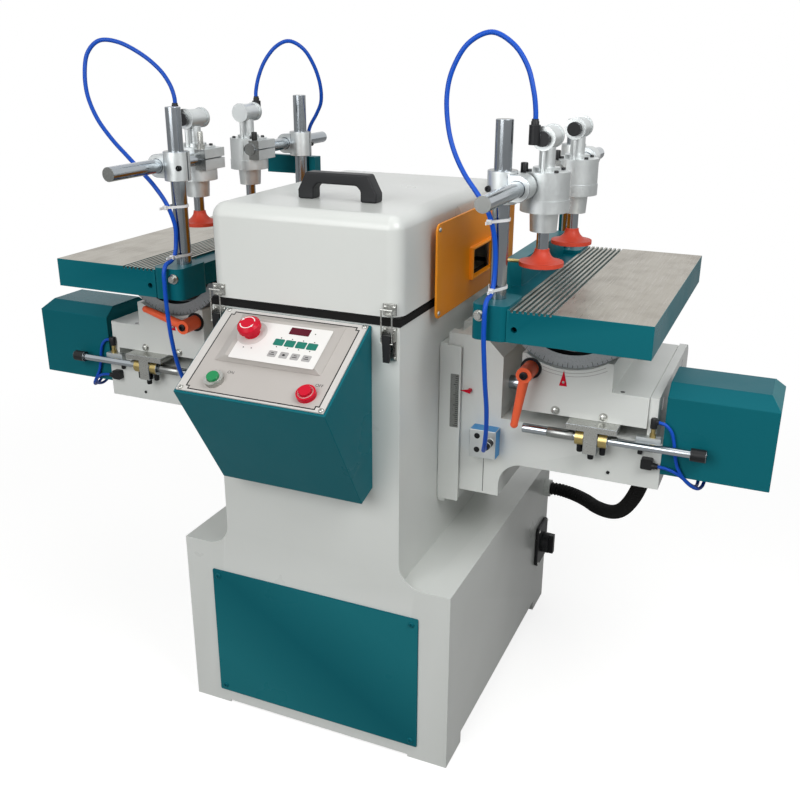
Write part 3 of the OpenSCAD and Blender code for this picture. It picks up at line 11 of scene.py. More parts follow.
import bmesh
import bpy
from mathutils import Matrix, Vector
from mathutils.bvhtree import BVHTree
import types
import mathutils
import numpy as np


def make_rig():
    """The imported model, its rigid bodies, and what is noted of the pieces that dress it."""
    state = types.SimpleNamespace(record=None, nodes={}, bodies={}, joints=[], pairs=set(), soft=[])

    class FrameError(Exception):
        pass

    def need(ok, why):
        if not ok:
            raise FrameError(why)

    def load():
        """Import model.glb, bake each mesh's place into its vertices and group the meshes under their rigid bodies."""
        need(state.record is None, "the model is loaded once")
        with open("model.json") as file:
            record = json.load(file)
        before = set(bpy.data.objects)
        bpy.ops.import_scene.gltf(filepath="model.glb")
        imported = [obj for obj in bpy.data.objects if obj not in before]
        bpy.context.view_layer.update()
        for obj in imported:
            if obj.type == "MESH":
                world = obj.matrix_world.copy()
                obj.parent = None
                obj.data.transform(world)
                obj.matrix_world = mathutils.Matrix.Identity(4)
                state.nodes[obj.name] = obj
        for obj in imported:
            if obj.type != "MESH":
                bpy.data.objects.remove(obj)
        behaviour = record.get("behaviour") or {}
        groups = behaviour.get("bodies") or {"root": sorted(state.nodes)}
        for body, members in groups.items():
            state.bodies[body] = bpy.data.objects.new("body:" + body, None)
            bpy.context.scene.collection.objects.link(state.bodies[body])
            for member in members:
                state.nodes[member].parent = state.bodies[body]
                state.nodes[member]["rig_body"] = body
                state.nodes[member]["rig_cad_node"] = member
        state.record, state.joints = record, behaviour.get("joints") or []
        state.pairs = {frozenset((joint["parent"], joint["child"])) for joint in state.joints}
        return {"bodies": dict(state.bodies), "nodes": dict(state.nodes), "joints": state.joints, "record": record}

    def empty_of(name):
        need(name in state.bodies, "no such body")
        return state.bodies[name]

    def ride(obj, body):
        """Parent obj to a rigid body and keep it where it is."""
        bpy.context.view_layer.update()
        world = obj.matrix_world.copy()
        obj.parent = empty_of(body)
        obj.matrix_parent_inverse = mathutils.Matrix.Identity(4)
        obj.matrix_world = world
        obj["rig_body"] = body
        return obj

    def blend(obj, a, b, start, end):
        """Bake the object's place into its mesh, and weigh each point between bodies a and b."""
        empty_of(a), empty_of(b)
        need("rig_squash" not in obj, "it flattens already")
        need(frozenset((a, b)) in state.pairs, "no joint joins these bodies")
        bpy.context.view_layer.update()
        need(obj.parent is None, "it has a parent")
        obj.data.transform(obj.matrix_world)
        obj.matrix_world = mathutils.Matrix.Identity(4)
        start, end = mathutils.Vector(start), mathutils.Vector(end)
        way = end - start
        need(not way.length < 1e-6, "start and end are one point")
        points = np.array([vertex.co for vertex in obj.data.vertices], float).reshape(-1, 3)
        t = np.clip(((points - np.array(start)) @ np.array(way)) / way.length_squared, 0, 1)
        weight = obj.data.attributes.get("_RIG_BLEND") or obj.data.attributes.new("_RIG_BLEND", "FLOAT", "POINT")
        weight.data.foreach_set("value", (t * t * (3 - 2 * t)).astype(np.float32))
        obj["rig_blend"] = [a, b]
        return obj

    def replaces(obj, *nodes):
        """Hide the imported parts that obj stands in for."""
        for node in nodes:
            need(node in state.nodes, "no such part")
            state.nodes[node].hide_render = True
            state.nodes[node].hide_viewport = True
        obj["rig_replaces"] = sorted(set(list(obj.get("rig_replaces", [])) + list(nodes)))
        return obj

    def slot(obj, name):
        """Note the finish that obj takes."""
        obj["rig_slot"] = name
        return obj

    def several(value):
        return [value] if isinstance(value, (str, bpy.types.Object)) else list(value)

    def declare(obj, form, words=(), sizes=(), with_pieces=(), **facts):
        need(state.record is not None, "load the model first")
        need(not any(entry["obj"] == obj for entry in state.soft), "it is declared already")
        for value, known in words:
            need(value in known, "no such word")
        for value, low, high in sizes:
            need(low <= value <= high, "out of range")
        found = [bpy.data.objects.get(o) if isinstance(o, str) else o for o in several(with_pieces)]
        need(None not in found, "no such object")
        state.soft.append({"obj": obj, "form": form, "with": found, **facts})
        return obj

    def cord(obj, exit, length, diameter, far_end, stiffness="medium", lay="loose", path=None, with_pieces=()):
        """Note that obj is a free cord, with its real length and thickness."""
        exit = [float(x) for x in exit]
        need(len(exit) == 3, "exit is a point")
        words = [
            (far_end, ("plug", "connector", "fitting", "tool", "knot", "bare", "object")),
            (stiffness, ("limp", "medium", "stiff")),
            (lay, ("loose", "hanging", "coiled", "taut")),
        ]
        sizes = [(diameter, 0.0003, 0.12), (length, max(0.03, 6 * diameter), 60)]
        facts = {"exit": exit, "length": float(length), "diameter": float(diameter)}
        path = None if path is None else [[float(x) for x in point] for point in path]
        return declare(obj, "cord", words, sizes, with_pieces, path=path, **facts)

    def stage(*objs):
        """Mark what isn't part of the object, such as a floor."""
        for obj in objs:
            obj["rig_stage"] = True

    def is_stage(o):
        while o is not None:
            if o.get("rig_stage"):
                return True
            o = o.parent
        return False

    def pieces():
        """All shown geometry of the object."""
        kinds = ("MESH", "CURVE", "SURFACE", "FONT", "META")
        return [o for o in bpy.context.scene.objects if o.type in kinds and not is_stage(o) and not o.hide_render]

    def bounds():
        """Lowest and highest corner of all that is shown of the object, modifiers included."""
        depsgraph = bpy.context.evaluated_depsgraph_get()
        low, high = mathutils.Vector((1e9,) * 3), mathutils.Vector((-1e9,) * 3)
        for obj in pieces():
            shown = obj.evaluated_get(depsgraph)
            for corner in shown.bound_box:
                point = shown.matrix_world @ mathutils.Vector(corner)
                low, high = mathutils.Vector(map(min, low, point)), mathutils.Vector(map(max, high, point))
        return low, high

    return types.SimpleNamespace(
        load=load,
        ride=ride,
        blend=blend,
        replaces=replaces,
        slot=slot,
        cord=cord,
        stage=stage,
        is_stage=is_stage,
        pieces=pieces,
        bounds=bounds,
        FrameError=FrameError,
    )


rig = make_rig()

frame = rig.load()
cad_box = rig.bounds()
NODES = frame["nodes"]
BODY_OF = {n: o["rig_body"] for n, o in NODES.items()}
MM = 0.001
print("frame:", len(NODES), "solids on", len(frame["bodies"]), "bodies")


def mm(x, y, z):
    """A point given in millimetres, as Blender's metres."""
    return Vector((x, y, z)) * MM


def add_object(name, data):
    """A new object, put into the scene."""
    obj = bpy.data.objects.new(name, data)
    bpy.context.scene.collection.objects.link(obj)
    return obj


def evaluated(obj):
    """The mesh of an object as its modifiers or its font make it."""
    graph = bpy.context.evaluated_depsgraph_get()
    return bpy.data.meshes.new_from_object(obj.evaluated_get(graph), depsgraph=graph)


# %% [markdown]
# ## The camera
# The photograph's perspective was worked out from edges of known direction: a lens of 42.6 mm on a 36 mm
# sensor, to the right of the operator's place, turned to the left and tipped down. A camera is turned from
# the world's axes in the order that a tripod has: pan about Z, tilt about X, then a little roll.

# %% Camera
CAMERA_PLACE = mm(768.6, -1686.5, 1289.3)
CAMERA_PAN, CAMERA_TILT, CAMERA_ROLL = (math.radians(a) for a in (23.48, 20.69, 0.30))
LENS, SENSOR = 42.6, 36
camera = add_object("camera", bpy.data.cameras.new("camera"))
camera.data.lens, camera.data.sensor_width = LENS, SENSOR
camera.matrix_world = (
    Matrix.Translation(CAMERA_PLACE)
    @ Matrix.Rotation(CAMERA_PAN, 4, "Z")
    @ Matrix.Rotation(math.pi / 2 - CAMERA_TILT, 4, "X")
    @ Matrix.Rotation(CAMERA_ROLL, 4, "Z")
)
bpy.context.scene.camera = camera
bpy.context.scene.view_settings.view_transform = "Standard"


# %% [markdown]
# ## A few small tools for nodes
# Colours are written as the hex values that a paint chart gives. The renderer works in linear light, so one
# function turns a hex value to linear. A second one adds a node, sets it and links it in a single line. The
# kinds of node that come again and again have a shorthand each, which calls it.

# %% Colour and node tools
def linear(hex_colour):
    """An sRGB hex value as a linear RGBA tuple."""
    channels = [int(hex_colour[i:i + 2], 16) / 255 for i in (1, 3, 5)]
    return (*[c / 12.92 if c <= 0.04045 else ((c + 0.055) / 1.055) ** 2.4 for c in channels], 1.0)


def feed(tree, node, inputs):
    """Gives a node its inputs, which are values or the sockets to link."""
    for key, value in inputs.items():
        if isinstance(value, bpy.types.NodeSocket):
            tree.links.new(value, node.inputs[key])
        else:
            node.inputs[key].default_value = value


def add(tree, kind, inputs=None, **settings):
    """Adds a node: settings are its properties, inputs are values or the sockets to link."""
    node = tree.nodes.new(kind)
    for key, value in settings.items():
        setattr(node, key, value)
    feed(tree, node, inputs or {})
    return node


def reckon(tree, operation, *values):
    return add(tree, "ShaderNodeMath", dict(enumerate(values)), operation=operation).outputs[0]


def spread(tree, value, low, high, to_low=0.0, to_high=1.0):
    """Maps the range from low to high onto another one."""
    return add(tree, "ShaderNodeMapRange", {"Value": value, "From Min": low, "From Max": high,
                                            "To Min": to_low, "To Max": to_high}).outputs[0]


def tint(tree, share, first, second):
    """Mixes two colours, each a linear colour or a socket."""
    return add(tree, "ShaderNodeMix", {0: share, 6: first, 7: second}, data_type="RGBA").outputs[2]


def either(tree, share, first, second):
    """Mixes two shaders."""
    return add(tree, "ShaderNodeMixShader", {0: share, 1: first.outputs[0], 2: second.outputs[0]})


def noise(tree, place, size_mm, octaves):
    """A noise whose features are this many millimetres wide."""
    return add(tree, "ShaderNodeTexNoise", {"Vector": place, "Scale": 1 / (size_mm * MM),
                                            "Detail": octaves}).outputs["Fac"]


def relief(tree, height, depth_mm):
    return add(tree, "ShaderNodeBump", {"Height": height, "Strength": 1.0,
                                        "Distance": depth_mm * MM}).outputs[0]


def new_material(name):
    """A new material with its node tree."""
    material = bpy.data.materials.new(name)
    material.use_nodes = True
    return material, material.node_tree


# %% [markdown]
# ## Light and floor
# A catalogue picture is lit from large soft boxes. One lamp stands beside the camera, a small one fills from
# the right, one lies over the machine and one is behind it. The floor is pale and keeps the shadow; the
# camera and mirror-like metal see a white room, which the lamps themselves don't have to make.

# %% Stage
WHITE = (1, 1, 1, 1)
ROOM_LIGHT = 0.18
# The floor's glow for the camera, and how much of it is seen in chrome and gloss
FLOOR_GLOW, MIRRORED = 0.80, 0.3
# In metres: half the floor's side, and the distances between which it fades to white
FLOOR_HALF, FADE = 30.0, (0.9, 2.2)


def white_room():
    """A world that lights softly, and is white where the camera or a reflection looks at it."""
    world = bpy.data.worlds.new("studio")
    bpy.context.scene.world = world
    world.use_nodes = True
    tree = world.node_tree
    tree.nodes.clear()
    rays = add(tree, "ShaderNodeLightPath").outputs
    through = reckon(tree, "MAXIMUM", rays["Is Glossy Ray"], rays["Is Transmission Ray"])
    seen = reckon(tree, "MAXIMUM", rays["Is Camera Ray"], through)
    soft = add(tree, "ShaderNodeBackground", {"Color": linear("#f4f6f8"), "Strength": ROOM_LIGHT})
    white = add(tree, "ShaderNodeBackground", {"Color": WHITE, "Strength": 1.0})
    add(tree, "ShaderNodeOutputWorld", {"Surface": either(tree, seen, soft, white).outputs[0]})


def soft_box(name, place, aim, size, watts):
    lamp = bpy.data.lights.new(name, "AREA")
    lamp.shape = "SQUARE"
    lamp.size = size
    lamp.energy = watts
    obj = add_object(name, lamp)
    place = Vector(place)
    turn = (aim - place).to_track_quat("-Z", "Y").to_matrix().to_4x4()
    obj.matrix_world = Matrix.Translation(place) @ turn
    return obj


def pale_floor():
    """A wide matt floor that also glows for the camera: it keeps the shadow, and is white further out."""
    material, tree = new_material("pale_floor")
    tree.nodes.clear()
    rays = add(tree, "ShaderNodeLightPath").outputs
    seen = reckon(tree, "MULTIPLY_ADD", rays["Is Glossy Ray"], MIRRORED, rays["Is Camera Ray"])
    matt = add(tree, "ShaderNodeBsdfDiffuse", {"Color": linear("#a4a4a2")})
    place = add(tree, "ShaderNodeTexCoord").outputs["Object"]
    away = add(tree, "ShaderNodeVectorMath", {0: place}, operation="LENGTH").outputs["Value"]
    white, glow = (add(tree, "ShaderNodeEmission", {"Color": WHITE, "Strength": strength})
                   for strength in (1.0, FLOOR_GLOW))
    near = add(tree, "ShaderNodeAddShader", {0: matt.outputs[0], 1: glow.outputs[0]})
    lit = either(tree, spread(tree, away, *FADE), near, white)
    add(tree, "ShaderNodeOutputMaterial", {"Surface": either(tree, seen, matt, lit).outputs[0]})
    mesh = bpy.data.meshes.new("floor")
    corners = [(x * FLOOR_HALF, y * FLOOR_HALF, 0) for x, y in ((-1, -1), (1, -1), (1, 1), (-1, 1))]
    mesh.from_pydata(corners, [], [(0, 1, 2, 3)])
    mesh.materials.append(material)
    floor = add_object("floor", mesh)
    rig.stage(floor)


white_room()
pale_floor()
MACHINE_MIDDLE, RIGHT_CLAMPS = mm(0, 0, 650), mm(200, 0, 950)
# Each lamp's name, place in metres, aim, side in metres and power in watts
soft_box("key_light", (-0.5, -2.5, 1.8), MACHINE_MIDDLE, 1.8, 40)
soft_box("fill_light", (1.25, -0.8, 1.8), RIGHT_CLAMPS, 0.8, 14)
soft_box("top_light", (0.4, 0.1, 3.6), MACHINE_MIDDLE, 2.4, 19)
# The lamp behind is kept out of the gloss, or it would burn out the top of the hood
soft_box("back_light", (-1.2, 2.8, 1.0), MACHINE_MIDDLE, 2.0, 18).visible_glossy = False
print("stage: world, floor and four soft boxes")


# %% [markdown]
# ## Paints and plastics
# Sheet-metal machines are painted with stoved enamel: a glossy film with a faint orange-peel ripple a few
# millimetres wide, a little dust in the corners and paler rubbed edges. Moulded plastics have a fine grain
# and no rubbed edges. One function covers both, because both are a coloured film with a ripple on it.

# %% Coloured films
DUST_MM, COAT_ROUGHNESS = 140, 0.08
# The parts of a noise that show as dust and as uneven gloss, and the bends that count as a rubbed edge
DUSTY, UNEVEN, RUBBED, RUBBED_SHARE = (0.45, 0.8), (0.3, 0.7), (0.52, 0.62), 0.45


def film(name, colour, roughness, ripple_mm, ripple_height, *, dust, dust_share=0.10, edge=None, coat=0.0,
         ior=1.5, shine=0.5):
    """Enamel or moulded plastic: a base colour with uneven dust, a rubbed edge and a fine ripple."""
    material, tree = new_material(name)
    place = add(tree, "ShaderNodeTexCoord").outputs["Object"]
    cloud = noise(tree, place, DUST_MM, 4.0)
    outcome = tint(tree, spread(tree, cloud, *DUSTY, 0.0, dust_share), linear(colour), linear(dust))
    if edge:
        bend = add(tree, "ShaderNodeNewGeometry").outputs["Pointiness"]
        outcome = tint(tree, spread(tree, bend, *RUBBED, 0.0, RUBBED_SHARE), outcome, linear(edge))
    smear = spread(tree, cloud, *UNEVEN, roughness * 0.85, min(roughness * 1.25, 1))
    ripple = noise(tree, place, ripple_mm, 2.0)
    feed(tree, tree.nodes["Principled BSDF"], {
        "Base Color": outcome, "Roughness": smear, "Normal": relief(tree, ripple, ripple_height), "IOR": ior,
        "Specular IOR Level": shine, "Coat Weight": coat, "Coat Roughness": COAT_ROUGHNESS})
    return material


# White and teal enamel: gloss with a soft ripple, edges rubbed paler
white_enamel = film("white_enamel", "#d9dcd8", 0.32, 6, 0.05, edge="#eceeeb", dust="#b9b7ae", coat=0.2)
teal_enamel = film("teal_enamel", "#025a66", 0.30, 6, 0.05, edge="#2f8c94", dust="#05454d", shine=0.07)
# Orange enamel on the guards and orange nylon on the clamp levers
orange_enamel = film("orange_enamel", "#fb9712", 0.42, 6, 0.04, edge="#f6b95a", dust="#c47a1c", shine=0.25)
orange_nylon = film("orange_nylon", "#fb6a42", 0.42, 2, 0.03, dust="#d65d34", shine=0.25)
# Black moulded ABS, black rubber and black oxide screws: dark, with a fine grain
black_abs = film("black_abs", "#1a1b1d", 0.40, 1.5, 0.03, dust="#343434", dust_share=0.2, shine=0.25)
black_rubber = film("black_rubber", "#131313", 0.70, 3, 0.05, dust="#2c2b29", dust_share=0.3, shine=0.15)
# Red cast polyurethane of the clamp feet: waxy, scuffed
red_urethane = film("red_urethane", "#c8442f", 0.45, 5, 0.12, dust="#8f3324", dust_share=0.35, shine=0.3)
# Lens caps of the buttons: glossy acrylic
red_acrylic = film("red_acrylic", "#cc1730", 0.24, 8, 0.01, dust="#a80f22", ior=1.49, shine=0.12)
green_acrylic = film("green_acrylic", "#128a50", 0.20, 8, 0.01, dust="#0d7541", coat=0.2, ior=1.49, shine=0.2)
# Blue polyurethane tube: smooth and glossy; blue anodised valve body: a little satin
blue_polyurethane = film("blue_polyurethane", "#1450bb", 0.34, 8, 0.003, dust="#123a8c", shine=0.2)
blue_anodised = film("blue_anodised_aluminium", "#2b8ccc", 0.32, 1.5, 0.02, dust="#2273a8")
# Printed polyester films on the console
grey_film = film("grey_polyester_film", "#b9b4af", 0.48, 0.8, 0.01, dust="#9d988f", dust_share=0.2)
pale_film = film("pale_polyester_film", "#cfccc8", 0.48, 0.8, 0.01, dust="#b2aea6")
white_film = film("white_polyester_film", "#ebe9e6", 0.40, 0.8, 0.01, dust="#cfcac2")
green_print = film("green_print", "#1c7565", 0.42, 0.8, 0.01, dust="#17604f", shine=0.2)
grey_print = film("grey_print", "#a7a5a4", 0.42, 0.8, 0.01, dust="#8b8988")
black_print = film("black_print", "#171717", 0.45, 0.8, 0.01, dust="#232323", shine=0.15)
dark_display = film("dark_red_display", "#5a1024", 0.15, 8, 0.005, dust="#450c1b", shine=0.12)
white_nylon = film("white_nylon", "#e8e9ea", 0.38, 2, 0.01, dust="#cfcfcc")


# %% [markdown]
# ## Metals
# A metal is told apart by how it was made. Turned and ground rods are mirror smooth with fine rings, machined
# iron shows the parallel tracks of the cutter, cast aluminium is a little pebbled, and zinc plate is dull.
# All share one function: a metal colour, a noise stretched along the tool's direction, and a bump from it.

# %% Metals
STAIN_MM, STAINED = 60, (0.45, 0.75)


def metal(name, colour, roughness, grain_mm, grain_height, *, stain, stain_share=0.25, stretch=(1, 1, 1)):
    """A bare metal: stretch lengthens its grain along X, Y or Z, as a tool leaves it."""
    material, tree = new_material(name)
    place = add(tree, "ShaderNodeTexCoord").outputs["Object"]
    cloud = noise(tree, place, STAIN_MM, 5.0)
    base = tint(tree, spread(tree, cloud, *STAINED, 0.0, stain_share), linear(colour), linear(stain))
    drawn = add(tree, "ShaderNodeMapping", {"Vector": place, "Scale": [1 / s for s in stretch]}).outputs[0]
    grain = noise(tree, drawn, grain_mm, 3.0)
    smear = spread(tree, grain, *UNEVEN, roughness * 0.75, min(roughness * 1.3, 1))
    feed(tree, tree.nodes["Principled BSDF"], {
        "Metallic": 1.0, "Base Color": base, "Roughness": smear, "Normal": relief(tree, grain, grain_height)})
    return material


chrome = metal("chromed_steel", "#a6acb1", 0.16, 0.8, 0.004, stain="#8f959a", stain_share=0.4)
zinc_steel = metal("zinc_plated_steel", "#b4b5b1", 0.30, 2.5, 0.02, stain="#8d8d85", stain_share=0.4)
turned_steel = metal("turned_steel", "#8f918f", 0.30, 0.7, 0.02, stain="#6c6b66", stain_share=0.4)
cast_aluminium = metal("cast_aluminium", "#cdd1d1", 0.42, 1.8, 0.10, stain="#aaaeae", stain_share=0.5)
machined_iron = metal("machined_iron", "#a6a196", 0.34, 1.2, 0.05, stretch=(1, 60, 1), stain="#766e60",
                      stain_share=0.6)
grey_casting = metal("grey_casting", "#8e9294", 0.5, 2.2, 0.12, stain="#6b6e70")
tool_steel = metal("ground_tool_steel", "#5c5f62", 0.35, 0.8, 0.02, stain="#3a3b3d")
black_oxide = metal("black_oxide_steel", "#2b2c2e", 0.38, 1.0, 0.02, stain="#45423c")
brass = metal("turned_brass", "#b3a06a", 0.30, 0.8, 0.02, stain="#857448")
print("materials:", len(bpy.data.materials))


# %% [markdown]
# ## Air tubes and conduit
# The cords come first, because they have to lie where the solids say. Each follows its own route,
# smoothed by the same curve. A tube that passes several joints is cut where it is tied, and every stretch
# bends across a single joint: from the clamp to the table, the table to the saddle, the saddle to the knee.

# %% Cord tools
TUBE_SIDES, SMOOTH_ANGLE = 16, 40


def smooth_route(points, steps):
    """A smooth curve through the points: steps stretches between each two."""
    ends = [2 * points[0] - points[1], *points, 2 * points[-1] - points[-2]]
    curve = []
    for i in range(1, len(ends) - 2):
        a, b, c, d = ends[i - 1:i + 3]
        for k in range(steps):
            t = k / steps
            curve.append(0.5 * (2 * b + (c - a) * t + (2 * a - 5 * b + 4 * c - d) * t ** 2
                                + (3 * b - a - 3 * c + d) * t ** 3))
    return curve + [points[-1]]


def run_length(curve):
    return sum((b - a).length for a, b in zip(curve, curve[1:]))


def soften(mesh, angle):
    """Smooth shading where faces meet at less than the angle."""
    mesh.polygons.foreach_set("use_smooth", [True] * len(mesh.polygons))
    mesh.set_sharp_from_angle(angle=math.radians(angle))


def new_piece(name, bm, materials, smooth_angle=SMOOTH_ANGLE):
    """A finished mesh as an object at the origin."""
    mesh = bpy.data.meshes.new(name)
    bm.normal_update()
    bm.to_mesh(mesh)
    bm.free()
    for material in materials:
        mesh.materials.append(material)
    soften(mesh, smooth_angle)
    return add_object(name, mesh)


def turns(sides):
    return [2 * math.pi * j / sides for j in range(sides)]


def skin(bm, low, high):
    for j in range(len(low)):
        k = (j + 1) % len(low)
        bm.faces.new((low[j], low[k], high[k], high[j]))


def stack(bm, loops):
    """Closes a stack of loops: a skin from each one to the next, and a face at both ends."""
    for low, high in zip(loops, loops[1:]):
        skin(bm, low, high)
    bm.faces.new(loops[0][::-1])
    bm.faces.new(loops[-1])


def sweep(bm, curve, radius):
    """Adds a round tube along the curve; the ring is carried along without twisting."""
    across = (curve[1] - curve[0]).normalized().orthogonal().normalized()
    loops = []
    for k, point in enumerate(curve):
        ahead = (curve[min(k + 1, len(curve) - 1)] - curve[max(k - 1, 0)]).normalized()
        across = (across - ahead * across.dot(ahead)).normalized()
        other = ahead.cross(across)
        loops.append([bm.verts.new(point + radius * (math.cos(a) * across + math.sin(a) * other))
                      for a in turns(TUBE_SIDES)])
    stack(bm, loops)


def lay_cord(piece, line, radius):
    """Declares a piece as a stiff cord along a line that begins and ends on the machine."""
    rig.cord(piece, exit=line[0], length=run_length(line), diameter=2 * radius, far_end="object",
            stiffness="stiff", path=line)
    print("cord", piece.name, round(run_length(line), 3), "m")


# %% Air tubes
TUBE_R = 4 * MM
ROUTES = {
    "right_front": [
        (352, -208, 1171), (352, -208, 1190), (347, -207, 1220), (334, -204, 1257), (310, -203, 1288),
        (275, -206, 1305), (240, -214, 1288), (218, -220, 1250), (211, -224, 1210), (216, -228, 1165),
        (230, -236, 1128), (252, -246, 1095), (277, -255, 1068), (297, -259, 1042), (307, -254, 1008),
        (310, -250, 970), (310, -251, 940), (310, -257, 919), (310, -270, 909), (310, -286, 905),
        (310, -294, 892), (310, -295, 870), (310, -295, 845), (311, -291, 805), (311, -281, 760),
        (310, -266, 715), (306, -250, 672), (299, -233, 635), (291, -214, 613), (289, -203, 611),
        (289, -190, 611)],
    "left_front": [
        (-376, -133, 1171), (-376, -133, 1190), (-384, -134, 1214), (-402, -138, 1240), (-435, -144, 1266),
        (-478, -153, 1287), (-513, -166, 1290), (-532, -180, 1268), (-535, -190, 1232), (-525, -200, 1192),
        (-500, -209, 1152), (-462, -219, 1117), (-420, -232, 1090), (-378, -248, 1066), (-342, -259, 1042),
        (-320, -256, 1010), (-310, -250, 972), (-310, -251, 940), (-310, -257, 919), (-310, -270, 909),
        (-310, -286, 905), (-310, -294, 892), (-310, -295, 870), (-310, -295, 845), (-309, -294, 805),
        (-307, -291, 760), (-303, -285, 715), (-298, -272, 672), (-293, -250, 638), (-290, -222, 615),
        (-289, -204, 611), (-289, -190, 611)],
    "left_rear": [
        (-364, 139, 1171), (-364, 139, 1190), (-358, 143, 1220), (-345, 150, 1252), (-323, 160, 1280),
        (-297, 172, 1291), (-272, 188, 1275), (-257, 204, 1242), (-252, 220, 1204), (-260, 238, 1168),
        (-280, 253, 1140), (-301, 260, 1112), (-310, 258, 1080)],
}
# Each stretch of a tube: its first and last place in the route, the places between which it bends, and the
# two bodies that it joins. The stretch that is tied to a post stays with the table as far as the boss.
CUTS = {
    "right_front": ((0, 13, 0, 13, "right_front_clamp", "right_table"),
                    (13, 23, 20, 23, "right_table", "right_saddle"),
                    (23, 30, 23, 30, "right_saddle", "right_knee")),
    "left_front": ((0, 14, 0, 14, "left_front_clamp", "left_table"),
                   (14, 24, 21, 24, "left_table", "left_saddle"),
                   (24, 31, 24, 31, "left_saddle", "left_knee")),
    "left_rear": ((0, 12, 0, 12, "left_rear_clamp", "left_table"),),
}
ROUTE_STEPS = 8


def air_tube(name):
    """One blue tube, in stretches that each bend across one joint."""
    curve = smooth_route([mm(*p) for p in ROUTES[name]], ROUTE_STEPS)
    for number, (first, last, bend, still, start_body, end_body) in enumerate(CUTS[name]):
        stretch = curve[first * ROUTE_STEPS:last * ROUTE_STEPS + 1]
        bm = bmesh.new()
        sweep(bm, stretch, TUBE_R)
        piece = new_piece(f"{name}_tube_{number + 1}", bm, [blue_polyurethane])
        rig.blend(piece, start_body, end_body, start=curve[bend * ROUTE_STEPS], end=curve[still * ROUTE_STEPS])
        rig.slot(piece, "blue_tube")
        lay_cord(piece, stretch, TUBE_R)
        if number == 0:
            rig.replaces(piece, f"{name}_tube")


for tube in ROUTES:
    air_tube(tube)


# %% [markdown]
# ## The ribbed conduit
# The black hose from the pedestal to the knee is a corrugated conduit. Its ribs follow the hose, so they are
# made with Geometry Nodes: the route is resampled to a few points a rib, the radius swells on every other
# pair, and a circle is drawn along it. The hose bends across the knee's lift.

# %% Conduit
CONDUIT_ROUTE = [
    (294, 300, 310), (320, 300, 310), (352, 290, 310), (385, 264, 314), (415, 226, 322), (445, 180, 340),
    (472, 130, 366), (496, 80, 400), (517, 34, 442), (534, 0, 486), (545, -22, 528), (545, -22, 549)]
CONDUIT_R, CONDUIT_RIB, CONDUIT_RIBS = 15 * MM, 1.8 * MM, 70
POINTS_A_RIB, HOSE_SIDES, WAVE_CUT = 6, 24, 0.5


def open_tree(name, inputs):
    """A new Geometry Nodes tree with a mesh or curve, these inputs and a material; also gives its sockets."""
    tree = bpy.data.node_groups.new(name, "GeometryNodeTree")
    for label, kind in {"Geometry": "Geometry", **inputs, "Material": "Material"}.items():
        tree.interface.new_socket(label, in_out="INPUT", socket_type=f"NodeSocket{kind}")
    tree.interface.new_socket("Geometry", in_out="OUTPUT", socket_type="NodeSocketGeometry")
    return tree, add(tree, "NodeGroupInput").outputs


def close_tree(tree, shape, material):
    """The end of a tree: copies become one mesh, which takes its material."""
    whole = add(tree, "GeometryNodeRealizeInstances", {"Geometry": shape})
    painted = add(tree, "GeometryNodeSetMaterial", {"Geometry": whole.outputs[0], "Material": material})
    add(tree, "NodeGroupOutput", {"Geometry": painted.outputs[0]})
    return tree


def rib_tree():
    """Draws a ribbed hose along a curve. Inputs: the outer radius, the depth and the number of ribs."""
    tree, given = open_tree("ribbed_hose", {"Outer radius": "Float", "Rib depth": "Float", "Ribs": "Int"})
    points = reckon(tree, "MULTIPLY_ADD", given["Ribs"], POINTS_A_RIB, 1.0)
    even = add(tree, "GeometryNodeResampleCurve", {"Curve": given["Geometry"], "Count": points})
    place = add(tree, "GeometryNodeInputIndex").outputs[0]
    wave = reckon(tree, "COSINE", reckon(tree, "MULTIPLY", place, 2 * math.pi / POINTS_A_RIB))
    groove = spread(tree, wave, -WAVE_CUT, WAVE_CUT, 0.0, given["Rib depth"])
    radius = reckon(tree, "SUBTRACT", given["Outer radius"], groove)
    ring = add(tree, "GeometryNodeCurvePrimitiveCircle", {"Resolution": HOSE_SIDES, "Radius": 1.0})
    hose = add(tree, "GeometryNodeCurveToMesh", {"Curve": even.outputs[0], "Profile Curve": ring.outputs[0],
                                                 "Scale": radius, "Fill Caps": True})
    return close_tree(tree, hose.outputs[0], given["Material"])


def by_nodes(name, source, tree, values):
    """Runs a node tree on a source object and keeps the result as a plain mesh object."""
    modifier = source.modifiers.new("nodes", "NODES")
    modifier.node_group = tree
    for item in tree.interface.items_tree:
        if item.item_type == "SOCKET" and item.in_out == "INPUT" and item.name in values:
            modifier[item.identifier] = values[item.name]
    mesh = evaluated(source)
    mesh.name = name
    soften(mesh, SMOOTH_ANGLE)
    bpy.data.objects.remove(source)
    return add_object(name, mesh)


def route_curve(name, points):
    data = bpy.data.curves.new(name, "CURVE")
    data.dimensions = "3D"
    spline = data.splines.new("POLY")
    spline.points.add(len(points) - 1)
    for target, point in zip(spline.points, points):
        target.co = (*point, 1.0)
    return add_object(name, data)


conduit_line = smooth_route([mm(*p) for p in CONDUIT_ROUTE], ROUTE_STEPS)
conduit = by_nodes("conduit", route_curve("conduit_line", conduit_line), rib_tree(),
                   {"Outer radius": CONDUIT_R, "Rib depth": CONDUIT_RIB, "Ribs": CONDUIT_RIBS,
                    "Material": black_rubber})
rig.blend(conduit, "frame", "right_knee", start=conduit_line[0], end=conduit_line[-1])
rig.slot(conduit, "black_rubber")
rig.replaces(conduit, "motor_conduit")
lay_cord(conduit, conduit_line, CONDUIT_R)

